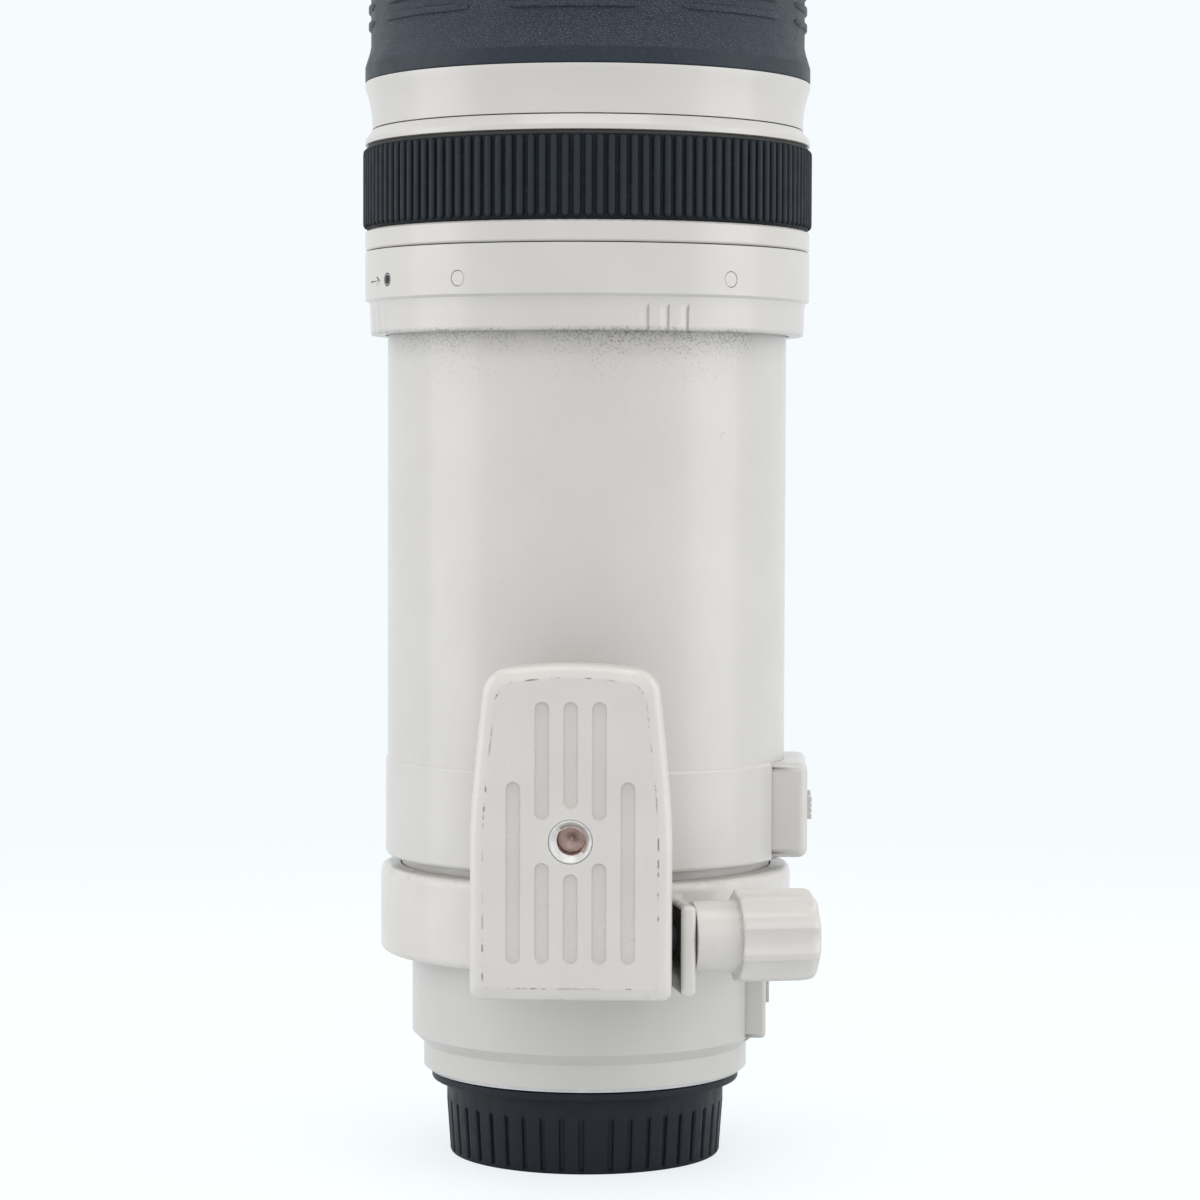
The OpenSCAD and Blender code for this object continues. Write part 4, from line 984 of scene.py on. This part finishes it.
def foot_outline(inset):
    """Half-tapered outline of the foot's face as (x, z), drawn in by inset."""
    low, high = corners("tripod_foot")
    half, bottom, top = high.x, low.z, high.z
    low_r, top_r = max(2.0 - inset / 2, 0.5), 5.5 - inset / 2
    crown_z = top - FOOT_CROWN - inset
    taper_z = bottom + (top - bottom) * FOOT_TAPER_AT
    taper_h = crown_z - top_r - taper_z
    right = arc_points(half - inset - low_r, bottom + inset + low_r, low_r, -90, 0, 6)
    for t in steps(0, 0.9, 6):
        right.append((half - (half - FOOT_TOP_HALF) * t**1.3 - inset, taper_z + taper_h * t))
    right += arc_points(FOOT_TOP_HALF - inset - top_r, crown_z - top_r, top_r, 0, 84, 8)
    x, z = right[-2]
    for t in steps(0.25, 0.75, 2):
        right.append((x * (1 - t), z + (crown_z + FOOT_CROWN - z) * (1 - (1 - t) ** 2)))
    return right + [(0.0, crown_z + FOOT_CROWN)] + [(-x, z) for x, z in reversed(right)]


def foot_plate():
    """The foot's plate: rounded sides that meet the face in a crisp edge."""
    face = foot_face()
    back = face - FOOT_THICK
    layers = [(back, 1.0, 0.0), (back + 0.3, 0.3, EDGE_WEAR), (back + 1.0, 0.0, 0.0)]
    last = math.radians(FOOT_ROUND_END)
    for part in steps(0, 0.875 * last, 7) + [0.95 * last, last]:
        deep = FOOT_BEVEL * (1 - math.sin(part) / math.sin(last))
        inset = FOOT_RIM * (1 - math.cos(part)) / (1 - math.cos(last))
        layers.append((face - deep, inset, float(part == last)))
    edge = layers[-1][1]
    layers += [(face, edge + 0.12, 0.6), (face, edge + 0.25, 0.0)]
    return lofted("foot_plate", [
        [(Vector((x, -y, z)) * MM, worn) for x, z in foot_outline(inset)] for y, inset, worn in layers
    ])


def foot_groove(x, low, high):
    """A cutter for one round-ended groove with a rounded mouth."""
    face, r = foot_face(), GROOVE_W / 2
    rows = []
    for deep, wide in ((GROOVE_DEPTH, 0.5), (GROOVE_DEPTH * 0.92, 0.78), (GROOVE_DEPTH * 0.6, 0.93),
                       (0.15, 0.98), (0.0, 1.06), (-0.5, 1.3)):
        loop = arc_points(x, high - r, r * wide, 0, 180, 10) + arc_points(x, low + r, r * wide, 180, 360, 10)
        rows.append([(Vector((px, -face + deep, pz)) * MM, 0.0) for px, pz in loop])
    return lofted("foot_groove", rows)


def foot_grooves():
    """Cutters for all grooves of the foot's face, broken round the threaded insert."""
    low, high = corners("tripod_foot")
    bottom, top = low.z + GROOVE_END, high.z - GROOVE_END
    above, below = SOCKET_Z + GROOVE_REST, SOCKET_Z - GROOVE_REST
    grooves = [(0, above, top), (0, bottom, below)]
    for x in (-GROOVE_PITCH, GROOVE_PITCH):
        grooves += [(x, above - GROOVE_SIDE_REST, top), (x, bottom, below + GROOVE_SIDE_REST)]
        grooves.append((2 * x, bottom, SOCKET_Z + GROOVE_OUTER_TOP))
    return [foot_groove(*groove) for groove in grooves]


def clamp_frame():
    """Where the clamp screw's axis lies: its local X runs from the slit to the knob."""
    return Matrix.Translation(CLAMP_AT * MM) @ Matrix.Rotation(math.radians(CLAMP_TILT), 4, "Z")


def clamp_point(x, y=0.0):
    """A point given along and across the clamp screw, in millimetres."""
    return (clamp_frame() @ (Vector((x, y, 0)) * MM)) / MM


def clamp_hole():
    """A cutter for the clamp screw's hole."""
    start, end = CLAMP_HOLE_X
    return rod("clamp_hole", clamp_point(start), clamp_point(end), CLAMP_HOLE_R)


def clamp_block(name, x, y, z=(-20.0, 20.0)):
    """A box across the clamp, given along the clamp screw."""
    return block(name, rectangle(*x, *y), *z)


def collar_ring():
    """The collar's ring, the pad under the foot and the free lug beyond the slit."""
    r, top = corners("collar_ring")[1].x, corners("collar_ring")[1].z
    low, lug_low = top - COLLAR_H, corners("collar_ring")[0].z - CLAMP_AT.z
    inner = COLLAR_IN - 0.6
    section = rounded([(inner, low, 0), (r, low, 1.5), (r, top, 2.0), (inner, top, 0)], 6)
    ring = turned("collar_ring_skin", section)
    pad = block("pad", rectangle(-PAD_HALF, PAD_HALF, corners("tripod_foot")[1].y, PAD_ROOT), low, top)
    beyond = moved(clamp_block("beyond", (SLIT_X, CLAMP_REACH), (-CLAMP_REACH, CLAMP_REACH)), clamp_frame())
    combined(softened(pad, 0.5), [beyond], "DIFFERENCE")
    lug = softened(clamp_block("lug", LUG_X, LUG_Y, (lug_low, lug_low + LUG_H)), 1.1, 5)
    combined(ring, [pad, moved(lug, clamp_frame())], "UNION")
    cutters = [
        core("bore", COLLAR_IN, *COLLAR_Z),
        core("sweep", SWEEP_R, COLLAR_Z[0], low),
        moved(clamp_block("slit", (SLIT_X, LUG_X[0]), (LUG_Y[0] - 1, SLIT_END)), clamp_frame()),
        clamp_hole(),
    ]
    middle = (low + top) / 2
    for z in (middle - FOOT_SCREW_GAP, middle + FOOT_SCREW_GAP):
        for name, end, hole_r in (("screw_hole", -46, 1.25), ("screw_head", -40.7, 2.25)):
            cutters.append(rod(name, (0, FOOT_SCREW_ROOT, z), (0, end, z), hole_r))
    return combined(ring, cutters, "DIFFERENCE")


def slit_shade_marked(piece):
    """Marks the walls of the clamp slit, which get near-black painted shade."""
    axis, inwards = clamp_frame().to_3x3() @ Vector((1, 0, 0)), clamp_frame().inverted()
    # the "slit" attribute carries the painted shade of the slit walls
    marks = piece.data.attributes.new("slit", "FLOAT", "FACE").data
    for face, mark in zip(piece.data.polygons, marks):
        across = (inwards @ face.center).x / MM
        mark.value = float(abs(face.normal.dot(axis)) > 0.95 and SLIT_X - 0.1 < across < LUG_X[0] + 0.1)
    return piece


def thread_wave(azimuth, z, pitch):
    """The flank of a thread at an azimuth and a height, from 0 to 1."""
    return abs(((z / pitch - azimuth / 360) % 1) * 2 - 1)


class LENS_OT_collar(bpy.types.Operator):
    """Tripod collar, its foot and the threaded insert"""

    bl_idname = "lens.collar"
    bl_label = "Tripod collar"

    def execute(self, context):
        worn_in(slit_shade_marked(softened(collar_ring())), "collar_paint", "collar_ring")
        foot = foot_plate()
        combined(foot, [self.stem()], "UNION")
        hole = rod("insert_hole", *[(0, y, SOCKET_Z) for y in SOCKET_HOLE_Y], SOCKET_HOLE_R, 64)
        combined(foot, foot_grooves() + [hole, clamp_hole()], "DIFFERENCE")
        foot.name = "tripod_foot_skin"
        low, high = FOOT_CLEAN_Z
        for vert, mark in zip(foot.data.vertices, foot.data.attributes["wear"].data):
            if abs(vert.co.x) < FOOT_CLEAN_HALF * MM and low * MM < vert.co.z < high * MM:
                mark.value = 0.0
        worn_in(slit_shade_marked(softened(foot, sharp=20)), "collar_paint", "tripod_foot")
        self.insert()
        for node, slot in (("foot_screws", "steel"), ("collar_liner", "nylon")):
            dressed(node, slot, 0.15)
        return {"FINISHED"}

    def stem(self):
        """What carries the foot's plate on the pad, cut off along the slit."""
        pad_y = corners("tripod_foot")[1].y
        near, far = clamp_point(SLIT_X, -6.0), clamp_point(SLIT_X, 5.4)
        outline = [
            (-PAD_HALF, STEM_Y), (PAD_HALF, STEM_Y), (min(PAD_HALF, near.x), near.y), (far.x, pad_y),
            (-PAD_HALF, pad_y),
        ]
        return softened(block("foot_stem", outline, *STEM_Z), 0.5)

    def insert(self):
        """The threaded insert, with a chamfered mouth and a screw thread."""
        r, depth, root, crest, pitch, end = SOCKET_R, SOCKET_DEPTH, 3.175, 2.62, 1.27, 6.9
        section = [(r, 0.12, 0), (r, depth, 0), (0, depth, 0), (0, 7.3, 1), (0.4, 7.0, 1)]
        section += [(root + 0.01, 7.0, 1)] + [(root, z, 1) for z in steps(end, 1.3, 40)]
        section += [(root - 0.3, 1.2, 0.6), (root, 0.8, 0), (r - 0.45, 0.12, 0), (r - 0.3, 0.0, 0)]
        section.append((r - 0.12, 0.0, 0))

        def dent(azimuth, radius, z):
            if radius != root or z > end:
                return radius
            wave = thread_wave(azimuth, z, pitch)
            return root - (root - crest) * max(0.0, min(1.0, 1.5 * wave - 0.2))

        insert = turned("tripod_socket_skin", section, dent, steps(0, 360, 96)[:-1])
        place = Matrix.Translation(Vector((0, -foot_face(), SOCKET_Z)) * MM)
        moved(insert, place @ Matrix.Rotation(-TURN / 4, 4, "X"))
        worn_in(softened(insert), "steel", "tripod_socket", insert_metal())


class LENS_OT_clamp_knob(bpy.types.Operator):
    """Clamp knob with concave scallops on a plain neck"""

    bl_idname = "lens.clamp_knob"
    bl_label = "Clamp knob"

    def execute(self, context):
        neck, start, end, neck_r, knob_r = 1.3, 9.8, 25.4, 7.0, 9.1
        bore, bore_end, scallops, cutter, deep = 2.5, 18.05, 9, 4.2, 1.1
        section = rounded([
            (bore, neck, 0), (neck_r, neck, 0.3), (neck_r, start, 0.6), (knob_r, start, 0.7),
            (knob_r, start + 3, 0), (knob_r, end - 5, 0), (knob_r, end, 3.2), (4.0, end + 0.25, 0),
            (0, end + 0.4, 0), (0, bore_end, 0), (bore, bore_end, 0),
        ], 6)
        away = knob_r + cutter - deep

        def dent(azimuth, r, z):
            if z < start + 0.01 or r <= neck_r + 0.02:
                return r
            off = math.radians((azimuth + 180 / scallops) % (360 / scallops) - 180 / scallops)
            room = cutter**2 - (away * math.sin(off)) ** 2
            hollow = away * math.cos(off) - math.sqrt(room) if room > 0 else knob_r
            return min(r, r - (knob_r - min(knob_r, hollow)) * min(1, (r - neck_r) / 1.2))

        knob = turned("clamp_knob_skin", section, dent, steps(0, 360, scallops * 28)[:-1])
        moved(knob, clamp_frame() @ Matrix.Rotation(TURN / 4, 4, "Y"))
        worn_in(softened(knob), "collar_paint", "clamp_knob")
        dressed("clamp_screw", "steel", 0.25, finish("black_metal"))
        return {"FINISHED"}


# Rings

NOTCHES_AT = 23.6
NOTCH_STEP = 5.4
NOTCH_RAMP = 2.4
NOTCH_WALL = 0.12
NOTCH_DEPTH = 0.5
PLUGS_AT = -31.2
PLUG_R = 1.5
ARROW_AT = -67.0
DOT_AT = -58.5


class LENS_OT_tension_ring(bpy.types.Operator):
    """Zoom tension ring with sawtooth finger notches and screw plugs"""

    bl_idname = "lens.tension_ring"
    bl_label = "Tension ring"

    def execute(self, context):
        r, low, top = reach("tension_ring")
        band, bore, lip_in = low + 7.1, 43.5, 41.5
        skirt, lip, notch_top, plug_z = r - 1.0, 1.7, low + 5.2, low + 10.2
        notches = [NOTCHES_AT + 90 * group + NOTCH_STEP * k for group in range(4) for k in (-1, 0, 1)]
        azimuths = steps(-45, 315, FINE)[:-1]
        azimuths = [a for a in azimuths if not any(-NOTCH_RAMP < a - n < 0.4 for n in notches)]
        for notch in notches:
            azimuths += [notch + a for a in (-NOTCH_RAMP, -1.6, -0.8, -0.1, 0.0, NOTCH_WALL, 0.3)]
        section = rounded([
            (lip_in, low, 0.2), (skirt - 0.2, low, 0.5), (skirt - 0.1, low + 1.2, 0),
            (skirt, notch_top - 0.8, 0), (skirt + 0.02, notch_top, 0), (skirt + 0.15, band - 0.45, 0),
            (r, band, 0.3), (r, top + RING_LAP, 0.12), (bore, top + RING_LAP, 0.2), (bore, low + lip, 0),
            (lip_in, low + lip, 0.2),
        ])

        def dent(azimuth, radius, z):
            if radius < skirt - 0.9 or z > notch_top:
                return radius
            deep = 0.0
            for notch in notches:
                off = azimuth - notch
                if -NOTCH_RAMP <= off <= NOTCH_WALL:
                    deep = 1 + off / NOTCH_RAMP if off <= 0 else 1 - off / NOTCH_WALL
            return radius - NOTCH_DEPTH * deep * min(1, (notch_top - z) / 0.8)

        ring = turned("tension_ring_skin", section, dent, sorted(azimuths))
        count = context.scene.lens_sizes.plugs
        holes = []
        for i in range(count):
            azimuth = PLUGS_AT + 360 * i / count
            ends = [around(azimuth, s, plug_z) / MM for s in (r - 0.9, r + 1)]
            holes.append(rod("plug_hole", *ends, PLUG_R + 0.1, 40))
        combined(ring, holes, "DIFFERENCE")
        worn_in(softened(ring), "white_paint", "tension_ring")
        arrow = figures("tension_marks", (("\u27f6", ARROW_AT),), r, plug_z + 0.2, 3.2, 1.7)
        dot = figures("dot", (("\u25c9", DOT_AT),), r, plug_z + 0.2, 3.4)
        added(together(arrow, dot), "black_plastic", "tension_ring")

        rows = []
        for deep, wide in ((0.85, 1.0), (0.16, 1.0), (0.07, 0.97), (0.05, 0.9)):
            loop = arc_points(0, plug_z, PLUG_R * wide, 0, 360, 24)[:-1]
            rows.append([(Vector((x, deep - r, z)) * MM, 0.0) for x, z in loop])
        plug = moved(lofted("tension_plugs_skin", rows), Matrix.Rotation(math.radians(PLUGS_AT), 4, "Z"))
        worn_in(softened(repeated(plug, "white_paint", count)), "white_paint", "tension_plugs")
        return {"FINISHED"}


LOAF_ENDS = ((0.0, 0.1), (0.12, 0.5), (0.4, 0.85), (0.85, 1))
LOAF_ARCH = ((-0.5, -0.3), (-0.46, 0.35), (-0.3, 0.86), (0, 1), (0.3, 0.86), (0.46, 0.35), (0.5, -0.3))


def loaf(name, width, height, low, high, r):
    """A rounded bar along Z on the foot's side, standing on a radius."""
    levels = [(low + rise, size) for rise, size in LOAF_ENDS]
    levels += [(high - rise, size) for rise, size in reversed(LOAF_ENDS)]
    rows = []
    for z, size in levels:
        tall = 0.3 + 0.7 * size
        loop = [(x * width * size, -(r + up * height * tall), z) for x, up in LOAF_ARCH]
        rows.append([(Vector(point) * MM, 0.0) for point in loop])
    return lofted(name, rows)


class LENS_OT_focus_ring(bpy.types.Operator):
    """Rubber of the focus ring with round-ended ribs"""

    bl_idname = "lens.focus_ring"
    bl_label = "Focus ring rubber"

    def execute(self, context):
        r, low, top = reach("focus_ring_rubber")
        count, root, seat = context.scene.lens_sizes.ribs, r - 0.7, r - 1.4
        sleeve = turned("focus_ring_rubber_skin", rounded([
            (seat, low, 0), (root - 0.25, low, 0.1), (root, low + 0.4, 0.2), (root, top - 0.6, 0.2),
            (root - 0.45, top, 0.1), (seat, top, 0),
        ]))
        rib = loaf("focus_rib", 0.74 * TURN * r / count, r - root, low + 0.5, top - 0.85, root)
        ribs = repeated(rib, "focus_rubber", count)
        worn_in(softened(together(sleeve, ribs)), "focus_rubber", "focus_ring_rubber")
        return {"FINISHED"}


BAR_SPAN = 34.0
BARS_AT = -1.0
BARS_RISE = 10.7
BAR_PITCH = 3.4
BAR_HALF = 0.8
BAR_HEIGHT = 0.5
BAR_ENDS = (0.25, 0.8)
BAR_SECTION = ((0, -0.3), (0.1, 0.6), (0.3, 1), (1.3, 1), (1.5, 0.6), (1.6, -0.3))


class LENS_OT_zoom_grip(bpy.types.Operator):
    """Rubber of the zoom grip with rows of raised bars"""

    bl_idname = "lens.zoom_grip"
    bl_label = "Zoom grip"

    def execute(self, context):
        sizes = context.scene.lens_sizes
        r, low, top = reach("zoom_grip")
        bore, waist, lip, flare = 43.15, r - 1.2, GRIP_LIP, 4.3
        sleeve = turned("zoom_grip_skin", rounded([
            (bore, low, 0), (r, low, 0.4), (r, low + lip, 0.2), (waist + 0.3, low + lip + 2 * flare / 3, 2),
            (waist, low + lip + flare, 1.5), (waist, top - lip - 0.6, 0.5), (r, top - lip, 0.4), (r, top, 0.4),
            (bore, top, 0),
        ]))
        middle = low + BARS_RISE + BAR_HALF
        rows = []
        for at, size in zip(steps(-1, 1, 16), [*BAR_ENDS] + [1] * 13 + [*reversed(BAR_ENDS)]):
            azimuth = BARS_AT + BAR_SPAN / 2 * at
            rows.append([
                (around(azimuth, waist + BAR_HEIGHT * up * size, middle + (z - BAR_HALF) * size**0.5), 0.0)
                for z, up in BAR_SECTION
            ])
        bar = lofted("grip_bar", rows)
        bars = repeated(bar, "grip_rubber", sizes.bar_columns, sizes.bar_rows, BAR_PITCH)
        worn_in(softened(together(sleeve, bars)), "grip_rubber", "zoom_grip")
        return {"FINISHED"}


# Front end and glass


class LENS_OT_front(bpy.types.Operator):
    """Front ring with its filter thread, retainer and glass"""

    bl_idname = "lens.front"
    bl_label = "Front ring and glass"

    def execute(self, context):
        r, low, top = reach("front_ring")
        groove, bore, filter_r, edge = r - 1.4, 39.0, 38.5, 0.7
        thread_low, thread_top, pitch = top - 4.7, top - edge, context.scene.lens_sizes.thread_pitch / MM
        section = rounded([
            (bore, low, 0), (r, low, 0.25), (r, low + 2, 0.25), (groove, low + 2.6, 0.2),
            (groove, low + 5.4, 0.2), (r, low + 6, 0.25), (r, top, 0.6), (filter_r + edge, top, 0.3),
        ])
        section += [(filter_r, z, 0.0) for z in steps(thread_top, thread_low, 48)] + [(bore, thread_low, 0.0)]

        def dent(azimuth, radius, z):
            if radius != filter_r:
                return radius
            return filter_r + 0.38 * thread_wave(azimuth, z, pitch) - 0.05

        worn_in(softened(turned("front_ring_skin", section, dent)), "black_plastic", "front_ring")
        for node, slot, width in (
            ("front_retainer", "black_plastic", 0.2), ("front_cell", "black_plastic", 0.15),
            ("front_barrel", "black_metal", 0.15), ("zoom_sleeve", "black_metal", 0.15),
        ):
            dressed(node, slot, width)
        glasses = {"front_element": turned_glass("front_element", 0.5, 4.0)}
        glasses["second_element"] = turned_glass("second_element", 2.0, -1.0)
        for node in ("variator_element", "focus_element", "stabiliser_element", "rear_elements"):
            glasses[node] = polished(node)
        for node, glass in glasses.items():
            worn_in(glass, "lens_glass", node)
        return {"FINISHED"}


FEET = ("6", "7", "8", "10", "13", "16", "25", "35", "50", "100", "\u221e")
METRES = ("1.8", "2", "2.5", "3", "4", "5", "7", "10", "15", "30", "\u221e")
SCALE_HALF = 80.0
SCALE_ROW = 1.9
SCALE_SIZE = 2.4
TICKS = 72


class LENS_OT_window(bpy.types.Operator):
    """Distance window and its drum"""

    bl_idname = "lens.window"
    bl_label = "Distance window"

    def execute(self, context):
        dressed("distance_window", "window_pane", 0.2)
        dressed("distance_scale", "black_plastic", 0.1)
        r, low, top = reach("distance_scale")
        middle = (low + top) / 2
        drum = []
        for row, z in ((FEET, middle + SCALE_ROW), (METRES, middle - SCALE_ROW)):
            places = steps(180 - SCALE_HALF, 180 + SCALE_HALF, len(row) - 1)
            drum.append(figures("distance_figures", zip(row, places), r, z, SCALE_SIZE))
        tick = turned_wedge("tick", r - 0.05, r + 0.03, middle - 0.5, middle + 0.5, 0.35)
        drum.append(repeated(tick, "white_paint", TICKS))
        added(together(*drum), "white_paint", "distance_scale")
        return {"FINISHED"}


class LENS_OT_inner_parts(bpy.types.Operator):
    """Finishes of the parts inside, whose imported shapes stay"""

    bl_idname = "lens.inner_parts"
    bl_label = "Inner parts"

    def execute(self, context):
        for node in frame["nodes"].values():
            if not node.hide_render:
                slot = node.data.materials[0].name.split(".")[0]
                node.data.materials.clear()
                node.data.materials.append(finish(slot))
        return {"FINISHED"}


# Studio

CAMERA_AT = Vector((33.3, -733.2, 146.2))
CAMERA_YAW = 2.38
CAMERA_PITCH = 2.51
CAMERA_ROLL = 0.18
CAMERA_SENSOR = 36
FLOOR_R = 1.2
FLOOR_FADE = (0.25, 0.6)
FLOOR_GLOW = 0.77
FLOOR_SEEN = 0.23
LAMP_AIM = Vector((0, 0, 0.14))


class LENS_OT_studio(bpy.types.Operator):
    """Floor, even light and the camera"""

    bl_idname = "lens.studio"
    bl_label = "Studio"

    def execute(self, context):
        studio = context.scene.lens_studio
        context.scene.view_settings.view_transform = "Standard"
        self.camera(context, studio)
        self.world(context, studio)
        self.floor(studio)
        for name, place, size, power in (
            ("side_lamp", (-0.75, -0.15, 0.3), (0.5, 0.9), studio.side),
            ("side_lamp", (0.75, -0.15, 0.3), (0.5, 0.9), studio.side),
            ("front_lamp", (0.1, -1.1, 0.7), (1.2, 0.8), studio.front),
            ("top_lamp", (0.0, -0.25, 1.1), (0.7, 0.7), studio.top),
        ):
            self.lamp(context, name, place, size, power)
        return {"FINISHED"}

    def camera(self, context, studio):
        """A long camera a little above the middle of the lens."""
        camera = bpy.data.objects.new("camera", bpy.data.cameras.new("camera"))
        camera.data.lens, camera.data.sensor_width = studio.focal, CAMERA_SENSOR
        camera.data.clip_start = 0.01
        yaw = Matrix.Rotation(math.radians(CAMERA_YAW), 4, "Z")
        pitch = Matrix.Rotation(math.radians(90 - CAMERA_PITCH), 4, "X")
        roll = Matrix.Rotation(math.radians(CAMERA_ROLL), 4, "Z")
        camera.matrix_world = Matrix.Translation(CAMERA_AT * MM) @ yaw @ pitch @ roll
        context.scene.collection.objects.link(camera)
        context.scene.camera = camera

    def world(self, context, studio):
        """Even light, and a pale backdrop for what the camera, reflections and glass see."""
        world = bpy.data.worlds.new("studio")
        context.scene.world = world
        world.use_nodes = True
        tree = world.node_tree
        tree.nodes.clear()
        rays = new_node(tree, "ShaderNodeLightPath").outputs
        seen = rays["Is Camera Ray"]
        for ray in ("Is Glossy Ray", "Is Transmission Ray"):
            seen = new_node(tree, "ShaderNodeMath", {0: seen, 1: rays[ray]}, operation="MAXIMUM").outputs[0]
        light = new_node(tree, "ShaderNodeBackground", {"Strength": studio.sky})
        backdrop = new_node(tree, "ShaderNodeBackground", {"Color": tuple(studio.backdrop) + (1.0,)})
        either = new_node(tree, "ShaderNodeMixShader", {0: seen, 1: light.outputs[0], 2: backdrop.outputs[0]})
        new_node(tree, "ShaderNodeOutputWorld", {0: either.outputs[0]})

    def floor(self, studio):
        """A pale round floor that fades into the backdrop."""
        bm = bmesh.new()
        bmesh.ops.create_circle(bm, cap_ends=True, segments=96, radius=FLOOR_R)
        floor = linked("floor", bm)
        made = Surface("floor_paper", [0.9 * c for c in studio.backdrop], 0.9).mottled(40, 0.01)
        seen = made.add("ShaderNodeLightPath").outputs["Is Camera Ray"]
        made.tint(seen, [FLOOR_SEEN * c for c in studio.backdrop])
        made.tree.links.new(made.times(seen, FLOOR_GLOW), made.shader.inputs["Emission Strength"])
        made.set(Emission_Color=tuple(studio.backdrop) + (1.0,))
        far, clear = made.between(made.length(made.place), *FLOOR_FADE), made.add("ShaderNodeBsdfTransparent")
        fade = made.add("ShaderNodeMixShader", {0: far, 1: made.shader.outputs[0], 2: clear.outputs[0]})
        made.tree.links.new(fade.outputs[0], made.tree.nodes["Material Output"].inputs["Surface"])
        floor.data.materials.append(made.material)

    def lamp(self, context, name, place, size, power):
        """A large soft lamp that faces the middle of the lens."""
        data = bpy.data.lights.new(name, "AREA")
        data.shape, data.size, data.size_y, data.energy = "RECTANGLE", *size, power
        lamp = bpy.data.objects.new(name, data)
        lamp.location = place
        lamp.rotation_euler = (LAMP_AIM - lamp.location).to_track_quat("-Z", "Y").to_euler()
        context.scene.collection.objects.link(lamp)


class LENS_PT_sidebar(bpy.types.Panel):
    """Lists the lens's pieces in the sidebar"""

    bl_idname = "LENS_PT_sidebar"
    bl_label = "Zoom lens"
    bl_space_type = "VIEW_3D"
    bl_region_type = "UI"
    bl_category = "Zoom lens"

    def draw(self, context):
        for group in (context.scene.lens_colours, context.scene.lens_sizes, context.scene.lens_studio):
            for name in group.__annotations__:
                self.layout.prop(group, name)
        for operator in OPERATORS:
            self.layout.operator(operator.bl_idname)


OPERATORS = (
    LENS_OT_rear_cap, LENS_OT_barrels, LENS_OT_switches, LENS_OT_collar, LENS_OT_clamp_knob,
    LENS_OT_tension_ring, LENS_OT_focus_ring, LENS_OT_zoom_grip, LENS_OT_front, LENS_OT_window,
    LENS_OT_inner_parts, LENS_OT_studio,
)
GROUPS = {"lens_colours": LensColours, "lens_sizes": LensSizes, "lens_studio": LensStudio}


def register():
    """Registers the classes and hangs the settings on the scene."""
    for made in (*GROUPS.values(), *OPERATORS, LENS_PT_sidebar):
        bpy.utils.register_class(made)
    for name, group in GROUPS.items():
        setattr(bpy.types.Scene, name, PointerProperty(type=group))


def unregister():
    """Takes the settings and classes away again."""
    for name in GROUPS:
        delattr(bpy.types.Scene, name)
    for made in reversed((*GROUPS.values(), *OPERATORS, LENS_PT_sidebar)):
        bpy.utils.unregister_class(made)


def main():
    """Builds every piece."""
    register()
    for operator in OPERATORS:
        group, name = operator.bl_idname.split(".")
        getattr(getattr(bpy.ops, group), name)()


if __name__ == "__main__":
    main()
